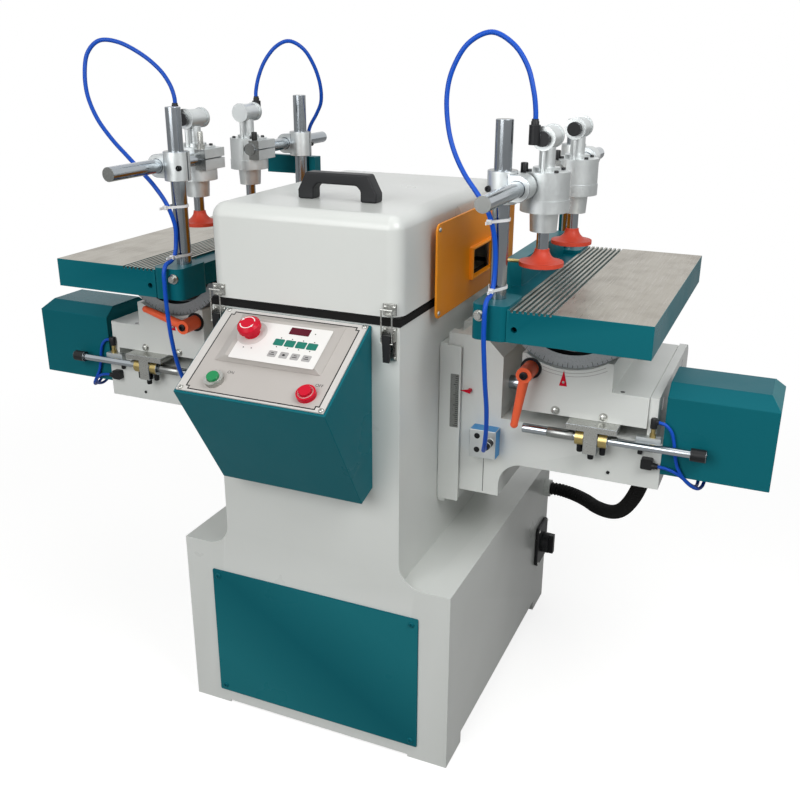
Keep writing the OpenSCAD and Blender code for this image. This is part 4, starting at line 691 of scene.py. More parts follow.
# %% [markdown]
# ## Rounded copies of the solids
# The solids have knife edges. Real sheet is folded over a die, castings are fettled and plastic is moulded,
# so every edge has a small radius that catches the light. Each solid is copied, its loose triangles are
# merged, flat areas become single faces, and the edges that turn sharply are bevelled. The copy stands for
# the solid.

# %% Soft edges
SLOT_OF = {part["node"]: part["material_slot"] for part in frame["record"]["subparts"]}
# Edges that turn more than SHARP are bevelled; faces that turn less than FLAT are merged
SHARP, FLAT, MERGE = math.radians(28), math.radians(1), 0.01 * MM
BEVEL_STEPS, DRESSED_ANGLE = 2, 50
# The caps of these come down flat on the plate when they are pressed, so no fillet is left under them
FLAT_UNDER = ("start_button", "stop_button")


def weighted(obj):
    """Lets the large flat faces lead the shading, so that a narrow bevel doesn't bend the light on them."""
    obj.modifiers.new("weighted", "WEIGHTED_NORMAL").keep_sharp = True
    plain = obj.data
    obj.data = evaluated(obj)
    obj.modifiers.clear()
    bpy.data.meshes.remove(plain)
    obj.data.name = obj.name


def dress(node, materials, edge_mm, paint=None):
    """A copy of a solid with soft edges. paint gives a face's material by its centre and its normal."""
    bm = bmesh.new()
    bm.from_mesh(NODES[node].data)
    bmesh.ops.remove_doubles(bm, verts=bm.verts, dist=MERGE)
    bmesh.ops.dissolve_limit(bm, angle_limit=FLAT, verts=bm.verts, edges=bm.edges)
    bm.normal_update()
    for face in bm.faces:
        face.material_index = paint(face.calc_center_median() / MM, face.normal) if paint else 0
    sharp = [e for e in bm.edges if len(e.link_faces) == 2 and e.calc_face_angle(0) > SHARP
             and (e.is_convex or node not in FLAT_UNDER)]
    if edge_mm:
        bmesh.ops.bevel(bm, geom=sharp, offset=edge_mm * MM, offset_type="OFFSET", segments=BEVEL_STEPS,
                        profile=0.5, affect="EDGES", clamp_overlap=True)
    piece = new_piece(f"{node}_dressed", bm, materials, DRESSED_ANGLE)
    if "custom_normal" in piece.data.attributes:
        piece.data.attributes.remove(piece.data.attributes["custom_normal"])
    weighted(piece)
    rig.ride(piece, BODY_OF[node])
    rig.replaces(piece, node)
    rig.slot(piece, SLOT_OF[node])
    return piece


# %% Plain solids
SIDES = ("left", "right")
CORNERS = [f"{s}_{e}" for s in SIDES for e in ("front", "rear")]


def both(*names):
    return [f"{s}_{n}" for s in SIDES for n in names]


PLAIN = (
    (["base_cabinet"], white_enamel, 3.0),
    (["knee_slideways", *both("knee")], white_enamel, 2.0),
    (["access_panel"], teal_enamel, 0.8),
    (["console_box", *both("drive_cover")], teal_enamel, 1.6),
    (["hood_shell"], white_enamel, 0),
    (["hood_seal"], black_rubber, 1.0),
    (["side_guards"], orange_enamel, 1.2),
    (["hood_handle", "power_switch_plate", "power_switch_knob"], black_abs, 3.0),
    (["hood_hinges", "latch_plates", "latch_keepers"], zinc_steel, 0.5),
    (both("latch_bail"), zinc_steel, 0),
    (both("latch_lever"), black_abs, 0.8),
    (["spindle_housing", "drive_motor"], grey_casting, 1.0),
    (["drive_belt"], black_rubber, 0),
    (["spindle_shaft", "motor_pulley"], turned_steel, 0.4),
    (["cutter_heads"], tool_steel, 0.5),
    (["control_unit"], grey_film, 2.0),
    (["start_button"], green_acrylic, 1.0),
    (["stop_button", "emergency_button"], red_acrylic, 1.0),
    (both("guide_rods"), chrome, 0.5),
    (both("clamp_lever"), orange_nylon, 1.0),
)
for names, finish, edge in PLAIN:
    for node in names:
        dress(node, [finish], edge)
print("plain solids:", sum(len(names) for names, finish, edge in PLAIN))


# %% [markdown]
# ## Solids of more than one metal
# Some solids hold several pieces of one body, such as a rod with its brass collars. Their faces are told
# apart by where they lie: the distance from the rod's axis, or the height on the machine.

# %% Mixed solids
# A face counts as lying on a surface when it is this near, in millimetres, and as facing along an axis when
# its normal has more than this share of it
NEAR, FACING, END_FACE = 0.5, 0.5, 0.7
TABLE_TOP, TABLE_INNER, GROOVE_DEPTH = 892, 341, 4


def paint_table(c, n):
    """Machined iron on top and in the grooves, enamel on the sides."""
    on_top = TABLE_TOP - GROOVE_DEPTH - NEAR < c.z < TABLE_TOP + NEAR and abs(c.x) > TABLE_INNER
    return 1 if on_top and abs(n.y) < FACING else 0


STOP_Y, STOP_Z, STOP_R, STOP_END, KNOB_L = -165, 648, 8.8, 650, 14
BRACKET_X, BRACKET_UP = (458.8, 483.2), 14.5


def paint_stop(c, n):
    """Chromed rod, brass collars, black knob and a plated bracket."""
    if abs(c.x) > STOP_END - KNOB_L:
        return 3
    if math.hypot(c.y - STOP_Y, c.z - STOP_Z) < STOP_R:
        return 0
    return 2 if BRACKET_X[0] < abs(c.x) < BRACKET_X[1] or c.z > STOP_Z + BRACKET_UP else 1


POST_X, POST_Y, POST_R = 310, 230, 14


def paint_stand(c, n):
    """Chromed posts with turned ends, in cast cross clamps."""
    if math.hypot(abs(c.x) - POST_X, abs(c.y) - POST_Y) > POST_R + NEAR:
        return 1
    return 2 if abs(n.z) > END_FACE else 0


CYLINDER_X, BAR_X, BAR_Z, BAR_R, HEAD_LOW, HEAD_HALF = 364, 340, 1077, 13, 1115, 29.3
CYLINDER_Y = {"right_front": -169, "left_front": -94, "right_rear": 35, "left_rear": 100}


def paint_clamp(y):
    """A chromed bar with turned ends, a cast body, and the fitting of a valve head whose middle is at y."""
    def paint(c, n):
        if math.hypot(abs(c.x) - BAR_X, c.z - BAR_Z) < BAR_R:
            return 3 if abs(n.y) > END_FACE else 0
        return 2 if c.z > HEAD_LOW and abs(c.y - y) > HEAD_HALF else 1
    return paint


FOOT_TOP, STUD_X = 973, 326


def paint_foot(c, n):
    """Urethane foot on a chromed rod, with a brass stud at one side."""
    if c.z > FOOT_TOP:
        return 1
    return 2 if abs(c.x) < STUD_X else 0


# The tables tilt about an axis that lies in their top
TILT_X, RING_IN, SEGMENT_FRONT = 414, 107, 140


def paint_segment(c, n):
    """A machined ring; the recess inside it is painted black, as painted shade under the table."""
    r = math.hypot(abs(c.x) - TILT_X, c.z - TABLE_TOP)
    return 1 if r < RING_IN + NEAR and abs(c.y) < SEGMENT_FRONT - NEAR else 0


BLOCK_FRONT = -172


def paint_valve(c, n):
    """A grey face plate, a blue body behind it and a black port."""
    if c.y < BLOCK_FRONT - NEAR:
        return 2
    return 1 if n.z > FACING or abs(n.x) > FACING else 0


for side in SIDES:
    dress(f"{side}_table", [teal_enamel, machined_iron], 1.6, paint=paint_table)
    dress(f"{side}_saddle", [white_enamel], 2.0)
    dress(f"{side}_stop_rod", [chrome, brass, zinc_steel, black_abs], 0.6, paint=paint_stop)
    dress(f"{side}_clamp_stands", [chrome, cast_aluminium, turned_steel], 1.0, paint=paint_stand)
    dress(f"{side}_valve_block", [cast_aluminium, blue_anodised, black_abs], 1.0, paint=paint_valve)
    # The recess inside each turntable's ring takes black plastic as painted shade, where the hub lies in shadow under
    # the table
    dress(f"{side}_turntable", [grey_casting, black_abs], 1.0, paint=paint_segment)
for corner in CORNERS:
    dress(f"{corner}_clamp", [chrome, cast_aluminium, black_abs, turned_steel], 0.8,
          paint=paint_clamp(CYLINDER_Y[corner]))
    dress(f"{corner}_foot", [red_urethane, chrome, brass], 0.6, paint=paint_foot)
# The sloping plate of the console: a point on it, the way up it and the way out of it
CONSOLE_PLACE, CONSOLE_TILT = (0, -418.87, 805.01), math.radians(30.5)
CONSOLE_UP = Vector((0, math.cos(CONSOLE_TILT), math.sin(CONSOLE_TILT)))
CONSOLE_OUT = Vector((0, -math.sin(CONSOLE_TILT), math.cos(CONSOLE_TILT)))
PLATE_TOP, PRINT, BUTTON_X, BUTTON_V, BUTTON_RING = 3, 0.2, 85, -66, 18


def paint_plate(c, n):
    """A silvered plate; the start button's ring is plated, the stop button's is red."""
    local = c - Vector(CONSOLE_PLACE)
    off = math.hypot(abs(local.x) - BUTTON_X, local.dot(CONSOLE_UP) - BUTTON_V)
    if local.dot(CONSOLE_OUT) < PLATE_TOP + PRINT or off > BUTTON_RING:
        return 0
    return 1 if local.x < 0 else 2


dress("console_plate", [pale_film, zinc_steel, red_acrylic], 0.5, paint=paint_plate)
print("pieces so far:", len(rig.pieces()))

# %% [markdown]
# ## Tools for small pieces
# Labels, pointers and fittings lie on a face of a solid, so they are drawn in a work plane: two directions in
# the face and a third one out of it, in millimetres. A plate is an outline pushed out of the plane, a band is
# the space between two outlines, and a turned piece is a profile spun about the plane's third direction.

# %% Work planes
RIGHT, FRONT_OUT, REAR_OUT, UP, DOWN = (1, 0, 0), (0, -1, 0), (0, 1, 0), (0, 0, 1), (0, 0, -1)
ROUND_SIDES, CORNER_STEPS = 24, 5
# How far castings and thin plates are let into the face that carries them, so that no gap shows
SUNK, LET_IN = 0.5, 0.3
FINISH_SLOT = {
    "white_enamel": "white_paint", "teal_enamel": "teal_paint", "orange_enamel": "orange_paint",
    "black_abs": "black_plastic", "black_rubber": "black_rubber", "red_acrylic": "red_plastic",
    "blue_polyurethane": "blue_tube", "chromed_steel": "chrome_steel", "cast_aluminium": "cast_aluminium",
    "grey_casting": "grey_casting", "zinc_plated_steel": "bright_steel", "turned_steel": "bright_steel",
    "turned_brass": "bright_steel", "white_nylon": "white_paint", "black_oxide_steel": "tool_steel",
}


def mount(piece, body, material):
    """Rides a small piece on a body, with the record's finish that comes nearest to its material."""
    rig.ride(piece, body)
    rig.slot(piece, FINISH_SLOT.get(material.name, "control_plate"))
    return piece


def placed(origin, across, up):
    """A work plane through a point in millimetres, with the third direction pointing out of it."""
    u, v = Vector(across).normalized(), Vector(up).normalized()
    turn = Matrix((u, v, u.cross(v))).transposed().to_4x4()
    return Matrix.Translation(mm(*origin)) @ turn


def front(y):
    """The plane of a front face: its two directions are the machine's x and z."""
    return placed((0, y, 0), (1, 0, 0), (0, 0, 1))


def ring(bm, plane, outline, height):
    return [bm.verts.new(plane @ mm(u, v, height)) for u, v in outline]


def plate(bm, plane, outline, low, high):
    stack(bm, [ring(bm, plane, outline, low), ring(bm, plane, outline, high)])


def band(bm, plane, outer, inner, low, high):
    """A flat frame between two outlines of the same number of corners."""
    loops = [ring(bm, plane, outer, low), ring(bm, plane, outer, high), ring(bm, plane, inner, high),
             ring(bm, plane, inner, low)]
    for a, b in zip(loops, loops[1:] + loops[:1]):
        skin(bm, a, b)


def turned(bm, plane, profile):
    """A profile of radius and height, spun about the plane's third direction and closed at both ends."""
    stack(bm, [ring(bm, plane, circle(radius), height) for radius, height in profile])


def fitting(bm, place, axis, profile):
    """A turned fitting on an axis."""
    across = Vector(axis).orthogonal()
    turned(bm, placed(place, across, Vector(axis).cross(across)), profile)


def circle(radius, sides=ROUND_SIDES, u=0.0, v=0.0):
    return [(u + radius * math.cos(a), v + radius * math.sin(a)) for a in turns(sides)]


def rounded(u0, v0, u1, v1, radius):
    """A rectangle with round corners."""
    points = []
    for turn, (u, v) in enumerate(((u1 - radius, v1 - radius), (u0 + radius, v1 - radius),
                                   (u0 + radius, v0 + radius), (u1 - radius, v0 + radius))):
        for k in range(CORNER_STEPS + 1):
            a = math.pi / 2 * (turn + k / CORNER_STEPS)
            points.append((u + radius * math.cos(a), v + radius * math.sin(a)))
    return points


def notched(u0, v0, u1, v1, cut):
    """A rectangle whose corners step in, as the printed border of a control plate does."""
    a0, b0, a1, b1 = u0 + cut, v0 + cut, u1 - cut, v1 - cut
    return [(a0, v0), (a1, v0), (a1, b0), (u1, b0), (u1, b1), (a1, b1),
            (a1, v1), (a0, v1), (a0, b1), (u0, b1), (u0, b0), (a0, b0)]


def build(name, body, material, *forms):
    """A small piece that rides on a body. Each form is a function, and what it takes after the mesh."""
    bm = bmesh.new()
    for form, *values in forms:
        form(bm, *values)
    bmesh.ops.recalc_face_normals(bm, faces=bm.faces)
    return mount(new_piece(name, bm, [material]), body, material)


# %% [markdown]
# ## Screws, keys and scale ticks
# A machine carries dozens of screws, keys and ticks of a few kinds. They could be copied one by one, but one
# Geometry Nodes tree sets them all out: every point of a small mesh carries the way out of its surface, a
# direction along it and a size, and a unit shape is placed there, turned and scaled. The points themselves
# are dropped onto the solid that carries them, so that no screw hangs in the air.

# %% Unit shapes
def around(radius_at):
    return [(radius_at(a) * math.cos(a), radius_at(a) * math.sin(a)) for a in turns(ROUND_SIDES)]


def hexagon(radius):
    return around(lambda a: radius * math.cos(math.pi / 6) / math.cos(a % (math.pi / 3) - math.pi / 6))


def cross(radius):
    return around(lambda a: radius if math.cos(4 * a) > 0.4 else 0.4 * radius)


def unit_shape(name, loops):
    """A small solid of stacked outlines, of unit size, to be set out by the tree."""
    bm = bmesh.new()
    stack(bm, [ring(bm, Matrix.Scale(1 / MM, 4), outline, height) for outline, height in loops])
    return new_piece(name, bm, [])


TICK, KEY = [(-0.5, -0.5), (0.5, -0.5), (0.5, 0.5), (-0.5, 0.5)], rounded(-0.5, -0.5, 0.5, 0.5, 0.12)
SHAPES = {name: unit_shape(name, loops) for name, loops in {
    "socket_screw": [(circle(1), -0.2), (circle(1), 0.88), (circle(0.9), 1), (hexagon(0.58), 1),
                     (hexagon(0.5), 0.35)],
    "hex_bolt": [(circle(1.35), -0.1), (circle(1.35), 0.2), (hexagon(1), 0.2), (hexagon(1), 0.88),
                 (circle(0.82), 1)],
    "pan_screw": [(circle(1), -0.2), (circle(1), 0.3), (circle(0.87), 0.7), (circle(0.62), 0.95),
                  (cross(0.52), 0.98), (cross(0.3), 0.5)],
    "disc": [(circle(1), -0.2), (circle(1), 0.75), (circle(0.86), 1)],
    "key": [(KEY, -0.2), (KEY, 0.7), (rounded(-0.47, -0.46, 0.47, 0.46, 0.12), 1)],
    "tick": [(TICK, -0.5), (TICK, 1)],
}.items()}


# %% The tree that sets them out
def set_out_tree():
    """Inputs: the points, the unit shape and its material. The points carry out, along and size."""
    tree, given = open_tree("set_out", {"Unit shape": "Object"})
    out, along, size = (
        add(tree, "GeometryNodeInputNamedAttribute", {"Name": name}, data_type="FLOAT_VECTOR").outputs[0]
        for name in ("out", "along", "size"))
    shape = add(tree, "GeometryNodeObjectInfo", {"Object": given["Unit shape"]})
    raised = add(tree, "FunctionNodeAlignRotationToVector", {"Vector": out}, axis="Z")
    turn = add(tree, "FunctionNodeAlignRotationToVector", {"Rotation": raised.outputs[0], "Vector": along},
               axis="X", pivot_axis="Z")
    copies = add(tree, "GeometryNodeInstanceOnPoints", {
        "Points": given["Geometry"], "Instance": shape.outputs["Geometry"], "Rotation": turn.outputs[0],
        "Scale": size})
    return close_tree(tree, copies.outputs[0], given["Material"])


SET_OUT = set_out_tree()
SURFACES = {}
LIFT, STEEP = 12 * MM, 0.7


def dropped(node, point, out, lift=LIFT):
    """The place on a solid's surface under a point in millimetres, looking against the way out."""
    if node not in SURFACES:
        mesh = NODES[node].data
        SURFACES[node] = BVHTree.FromPolygons([v.co for v in mesh.vertices],
                                              [p.vertices[:] for p in mesh.polygons])
    way = Vector(out).normalized()
    hit = SURFACES[node].ray_cast(mm(*point) + lift * way, -way, 4 * lift)[0]
    if hit is None:
        raise ValueError(f"nothing of {node} lies under {tuple(point)}")
    return hit


def set_out(name, body, shape, material, places):
    """Sets a unit shape out on a body. A place is a point, the way out, a way along and a size in mm."""
    mesh = bpy.data.meshes.new(name)
    mesh.from_pydata([place[0] for place in places], [], [])
    for column, (key, unit) in enumerate((("out", 1), ("along", 1), ("size", MM)), 1):
        values = mesh.attributes.new(key, "FLOAT_VECTOR", "POINT").data
        values.foreach_set("vector", [c * unit for place in places for c in place[column]])
    piece = by_nodes(name, add_object(name, mesh), SET_OUT,
                     {"Unit shape": SHAPES[shape], "Material": material})
    return mount(piece, body, material)


def fasten(name, node, shape, material, radius, height, points, out):
    """Screws of one kind on a face of a solid."""
    along, size = RIGHT if abs(out[2]) > STEEP else UP, (radius, radius, height)
    return set_out(name, BODY_OF[node], shape, material,
                   [(dropped(node, point, out), out, along, size) for point in points])


def sign(side):
    return -1 if side == "left" else 1


def mirror(s, points):
    """Points of the right side, or their mirror images on the left."""
    return [(s * x, *rest) for x, *rest in points]


# %% [markdown]
# ## The console
# The sloping plate carries a printed border, a raised control unit with a white membrane, a dark display, two
# rows of keys and three buttons. All of it lies in the plate's own plane, which leans back by 30.5 degrees.

# %% Console
CONSOLE = placed(CONSOLE_PLACE, RIGHT, CONSOLE_UP)
UNIT_TOP, FILM, FAR_LIFT, WORD_H, WORD_T = 15, 0.35, 60 * MM, 8, 0.1


def on_console(node, points):
    """Places on the console, given in its own plane, dropped onto a solid."""
    return [dropped(node, (CONSOLE @ mm(u, v, UNIT_TOP)) / MM, CONSOLE_OUT, FAR_LIFT) for u, v in points]


def console_set(name, shape, material, height, marks):
    """Small shapes at a height over the plate: each mark is its place in the plane and its size."""
    set_out(name, "frame", shape, material,
            [(CONSOLE @ mm(u, v, height), CONSOLE_OUT, RIGHT, size) for u, v, size in marks])


def console_film(name, material, outline, level, height):
    """A film or window on a level of the console, let in by the depth of a print."""
    build(name, "frame", material, (plate, CONSOLE, outline, level - PRINT, level + height))


def words(name, text, u, v):
    """Small printed letters on the plate, made a mesh before they are put in place."""
    data = bpy.data.curves.new(name, "FONT")
    data.body, data.size, data.extrude = text, WORD_H * MM, WORD_T * MM
    flat = add_object(name, data)
    mesh = evaluated(flat)
    bpy.data.objects.remove(flat)
    mesh.transform(CONSOLE @ Matrix.Translation(mm(u, v, PLATE_TOP)))
    mesh.materials.clear()
    mesh.materials.append(black_print)
    return mount(add_object(name, mesh), "frame", black_print)


BORDER, BORDER_LINE, NOTCH, FIELD_GAP, FIELD_T = (-131, -91, 116, 88), 2.0, 6, 0.5, 0.08
MEMBRANE, WINDOW, WINDOW_T = (-78, -23, 80, 62, 2), (5, 43, 42, 58, 1), 0.9


def inside_border(gap):
    u0, v0, u1, v1 = BORDER
    return notched(u0 + gap, v0 + gap, u1 - gap, v1 - gap, NOTCH)


build("console_border", "frame", black_print,
      (band, CONSOLE, inside_border(0), inside_border(BORDER_LINE), PLATE_TOP - PRINT, PLATE_TOP + PRINT))
console_film("console_field", grey_film, inside_border(FIELD_GAP), PLATE_TOP, FIELD_T)
console_film("key_membrane", white_film, rounded(*MEMBRANE), UNIT_TOP, FILM)
# The columns of keys in both rows, the rows' places and the sizes of a key
KEYS_UP, UP_V, UP_SIZE = (-3.3, 17.2, 37.8, 58.2), 22.5, (18, 14, 1.0)
KEYS_LOW, LOW_V, LOW_SIZE = (-3.5, 17.7, 38.4, 59.4), -3.3, (15, 13, 1.0)
console_set("green_keys", "key", green_print, UNIT_TOP + PRINT, [(u, UP_V, UP_SIZE) for u in KEYS_UP])
console_set("grey_keys", "key", grey_print, UNIT_TOP + PRINT, [(u, LOW_V, LOW_SIZE) for u in KEYS_LOW])
# Three grey keys carry two bars each, the second one carries three
MARK_UP, MARK_LINE, MARK_T = 1.1, 1.3, 0.2
bars = [(u, dv, 7 - dv) for u in (KEYS_LOW[0], *KEYS_LOW[2:]) for dv in (-1.8, 1.8)]
bars += [(KEYS_LOW[1], dv, 6 - 2 * abs(dv)) for dv in (-1.2, 0, 1.2)]
console_set("key_marks", "tick", black_print, UNIT_TOP + MARK_UP,
            [(u, LOW_V + dv, (width, MARK_LINE, MARK_T)) for u, dv, width in bars])
LIGHT_SIZE, OTHER_LIGHTS = (1.1, 1.1, 0.25), [(52, 50), (-61, 2), (-46, 2.5)]
lights = [(u, v) for u in KEYS_UP for v in (12.5, 32.5)] + OTHER_LIGHTS
console_set("key_lights", "disc", black_print, UNIT_TOP + FILM, [(u, v, LIGHT_SIZE) for u, v in lights])
console_film("display_window", dark_display, rounded(*WINDOW), UNIT_TOP, WINDOW_T)
PLATE_SCREWS, PLATE_SCREW = [(u, v) for u in (-138, 121) for v in (-90, 90)], (4.4, 4.4, 2.6)
set_out("plate_screws", BODY_OF["console_plate"], "pan_screw", zinc_steel,
        [(hit, CONSOLE_OUT, RIGHT, PLATE_SCREW) for hit in on_console("console_plate", PLATE_SCREWS)])
BEZEL_OUT, BEZEL_IN, BEZEL_H, BEZEL_SIDES, BEZEL_EDGE = 16.4, 13.05, 8, 40, 1.2
STEEP_EDGE = 0.8


def bezel(bm, u):
    """The raised ring round a button, with its edges rounded."""
    outer, inner = (circle(radius, BEZEL_SIDES, u, BUTTON_V) for radius in (BEZEL_OUT, BEZEL_IN))
    band(bm, CONSOLE, outer, inner, PLATE_TOP - PRINT, PLATE_TOP + BEZEL_H)
    bmesh.ops.bevel(bm, geom=[e for e in bm.edges if e.is_manifold and e.calc_face_angle(0) > STEEP_EDGE],
                    offset=BEZEL_EDGE * MM, segments=BEVEL_STEPS, affect="EDGES", profile=0.5)


build("start_bezel", "frame", zinc_steel, (bezel, -BUTTON_X))
build("stop_bezel", "frame", red_acrylic, (bezel, BUTTON_X))
words("start_word", "ON", -72, -47)
words("stop_word", "OFF", 90, -46)
print("console pieces:", len(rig.pieces()))

# %% Emergency button
EMERGENCY, COLLAR_OUT, COLLAR_IN, COLLAR_SIDES, COLLAR_H = (-60, 34), 26.5, 14, 48, 0.6
# A turning arrow: its radius, least half width, steps, depth in the crown and height over it; then the width
# and the angles of its stem and of its head, and the angles at which both arrows start
ARROW_R, ARROW_EDGE, ARROW_STEPS, ARROW_ROOT, ARROW_T = 12.5, 0.05, 10, 1.0, 0.25
STEM, HEAD, ARROW_STARTS = (1.6, 0, 125), (4.5, 125, 150), (20, 200)


def arrow(bm, start, width, first, last):
    """The stem of an arrow, or its head, which comes to a point; it lies on the crown of the button."""
    outline = []
    for edge in (1, -1):
        row = []
        for k in range(ARROW_STEPS + 1):
            a = math.radians(start + first + (last - first) * k / ARROW_STEPS)
            half = width / 2 * (1 - k / ARROW_STEPS if width == HEAD[0] else 1) + ARROW_EDGE
            row.append((EMERGENCY[0] + (ARROW_R + edge * half) * math.cos(a),
                        EMERGENCY[1] + (ARROW_R + edge * half) * math.sin(a)))
        outline += row if edge > 0 else row[::-1]
    crown = on_console("emergency_button", [outline[0]])[0]
    height = (CONSOLE.inverted() @ crown).z / MM
    plate(bm, CONSOLE, outline, height - ARROW_ROOT, height + ARROW_T)


build("emergency_arrows", BODY_OF["emergency_button"], white_film,
      *[(arrow, start, *part) for start in ARROW_STARTS for part in (STEM, HEAD)])
outer, inner = (circle(radius, COLLAR_SIDES, *EMERGENCY) for radius in (COLLAR_OUT, COLLAR_IN))
build("emergency_collar", "frame", pale_film,
      (band, CONSOLE, outer, inner, UNIT_TOP - PRINT, UNIT_TOP + COLLAR_H))

# %% [markdown]
# ## Pedestal and hood
# Sheet parts are held with cross-slotted screws. A rubber lip is pushed over the front and side edges of the
# column, under the hood, and shows as a black line round the machine.

# %% Pedestal and hood
def pairs(*columns):
    """Every combination of the given coordinates."""
    return [(x, y, z) for x in columns[0] for y in columns[1] for z in columns[2]]


# Each set of cross-slotted screws: its name, solid and material, a head's radius and height, places, way out
SHEET_SCREWS = [
    ("panel_screws", "access_panel", teal_enamel, 6, 3, pairs((-207, 207), (-337,), (43, 302)), FRONT_OUT),
    ("switch_screws", "power_switch_plate", zinc_steel, 3.4, 2, pairs((288,), (244, 310), (136, 220)), RIGHT),
    ("keeper_screws", "latch_keepers", zinc_steel, 3.2, 2,
     pairs((-171, -155, 155, 171), (-341,), (890,)), FRONT_OUT),
    ("latch_screws", "latch_plates", zinc_steel, 2.6, 1.6,
     pairs((-172, -154, 154, 172), (-340,), (805, 852)), FRONT_OUT),
    ("hinge_screws", "hood_hinges", zinc_steel, 4, 2.2,
     pairs((-134, -86, 86, 134), (190,), (846,)), REAR_OUT),
    *[(f"{side}_guard_screws", "side_guards", zinc_steel, 4, 2.5,
       pairs((sign(side) * 196,), (-203, 215), (850, 995)), (sign(side), 0, 0)) for side in SIDES],
]
for name, node, finish, radius, height, points, out in SHEET_SCREWS:
    fasten(name, node, "pan_screw", finish, radius, height, points, out)
LIP_X, LIP_FRONT, LIP_REAR, LIP_PROUD, LIP_T, LIP_Z = 180, -334, 170, 1.8, 6, (857.5, 867)
lip_x, lip_front, lip_in = LIP_X + LIP_PROUD, LIP_FRONT - LIP_PROUD, LIP_X - LIP_T
build("edge_lip", "frame", black_rubber, (plate, placed((0, 0, 0), RIGHT, REAR_OUT), [
    (-lip_x, LIP_REAR), (-lip_x, lip_front), (lip_x, lip_front), (lip_x, LIP_REAR), (lip_in, LIP_REAR),
    (lip_in, LIP_FRONT + LIP_T), (-lip_in, LIP_FRONT + LIP_T), (-lip_in, LIP_REAR)], *LIP_Z))
print("pedestal and hood: screws and edge lip")

# %% [markdown]
# ## The knees
# The knee climbs a slideway on the column. A strip keeps it in, and carries a steel rule with a tick every
# four millimetres, read by a red pointer on the knee. At the outer end air goes in by a manifold with two
# elbows, and two short hoses lead it to the cylinder under the cover.

# %% Rule and pointer
SLIDE_FRONT, STRIP_T, RULE_T, KNEE_FRONT = -149, 3, 0.9, -144
KNEE = front(KNEE_FRONT)
# Outlines on the right: x and z of two corners, and the radius at the corners
STRIP, RULE, SEAM = (181, 470, 222, 778, 2), (203, 621, 219, 725, 1.5), (268.5, 497, 269.7, 577, 0.4)
POINTER, POINTER_ROOT = ((222, 696), (242, 691.5), (242, 700.5)), (236, 693, 242, 699, 1)
POINTER_Y, ROOT_T, SEAM_T = (9.0, 9.9), 9.3, 0.15
TICK_STEP, TICK_LONG, TICK_SHORT, TICK_IN, TICK_SIZE = 4, 9, 5.5, 0.8, (0.9, 0.12)
FILLET_X, FILLET_Z, FILLET_R, FILLET_DEEP, FILLET_STEPS, FILLET_IN = 299.3, 563, 30, 200, 10, 2


def box_outline(s, x0, z0, x1, z1, radius):
    """A rounded box on the right, or its mirror image on the left."""
    low, high = (x0, x1) if s > 0 else (-x1, -x0)
    return rounded(low, z0, high, z1, radius)


curve = [(FILLET_X + FILLET_R * (1 - math.cos(a)), FILLET_Z - FILLET_R * (1 - math.sin(a)))
         for a in (math.pi / 2 * k / FILLET_STEPS for k in range(FILLET_STEPS + 1))]
fillet = [(FILLET_X - FILLET_IN, FILLET_Z - FILLET_R), *curve, (FILLET_X + FILLET_R, FILLET_Z + FILLET_IN),
          (FILLET_X - FILLET_IN, FILLET_Z + FILLET_IN)]
for side in SIDES:
    s, knee = sign(side), f"{side}_knee"
    build(f"{side}_keeper_strip", "frame", white_enamel,
          (plate, front(SLIDE_FRONT), box_outline(s, *STRIP), -SUNK, STRIP_T))
    build(f"{side}_rule", "frame", turned_steel,
          (plate, front(SLIDE_FRONT - STRIP_T), box_outline(s, *RULE), -LET_IN, RULE_T))
    ticks = []
    for k, z in enumerate(range(RULE[1] + TICK_STEP, RULE[3] - TICK_STEP + 1, TICK_STEP)):
        long = TICK_LONG if k % 5 == 0 else TICK_SHORT
        x = s * (RULE[2] - TICK_IN - long / 2)
        ticks.append((mm(x, SLIDE_FRONT - STRIP_T - RULE_T, z), FRONT_OUT, RIGHT, (long, *TICK_SIZE)))
    set_out(f"{side}_rule_ticks", "frame", "tick", black_print, ticks)
    build(f"{side}_rule_pointer", knee, red_acrylic, (plate, KNEE, mirror(s, POINTER), *POINTER_Y),
          (plate, KNEE, box_outline(s, *POINTER_ROOT), -SUNK, ROOT_T))
    build(f"{side}_knee_seam", knee, black_print, (plate, KNEE, box_outline(s, *SEAM), -LET_IN, SEAM_T))
    build(f"{side}_knee_fillet", knee, white_enamel,
          (plate, front(KNEE_FRONT + SUNK), mirror(s, fillet), -FILLET_DEEP, 0))
print("rules with", len(ticks), "ticks")

# %% Air fittings on the knees
HOSE_R = 3 * MM
HOSES = {
    "upper": [(577, -149.5, 690), (590, -149.5, 687), (601, -149.5, 676), (607, -149.5, 657),
              (611, -149.5, 635), (617, -150, 614), (628, -149, 596), (641, -142, 581), (652, -128, 571),
              (658, -110, 569), (660, -95, 576), (660, -90, 586), (660, -90, 593)],
    "lower": [(584, -152, 610), (598, -152, 609), (614, -151, 604), (629, -146, 593), (640, -136, 580),
              (647, -121, 571), (649, -104, 568), (649, -89, 573), (649, -83, 583), (649, -83, 593)],
}
MANIFOLD, ELBOW, STUB = (544, 650, 586, 662, 1.5), (556, 603, 576, 622, 3), (548, 626, 556, 634, 2)
MANIFOLD_T, STUB_T = 13, 5
# Where the fittings start: the stud and its nut, the ends of both elbows, and the valve block's port
STUD_AT, NUT_AT = (571, -150, 661), (571, -149.5, 678)
UPPER_AT, LOWER_AT = (570, -149.5, 690), (575, -152, 610)
PORT_AT, MANIFOLD_SCREWS = (289.3, -190, 611), ((500, KNEE_FRONT, 640), (500, KNEE_FRONT, 580))
# Two black discs on the valve block's front are painted shade where its two holes are
BLOCK_HOLE_SHADE = ((264, BLOCK_FRONT, 620), (264, BLOCK_FRONT, 593))
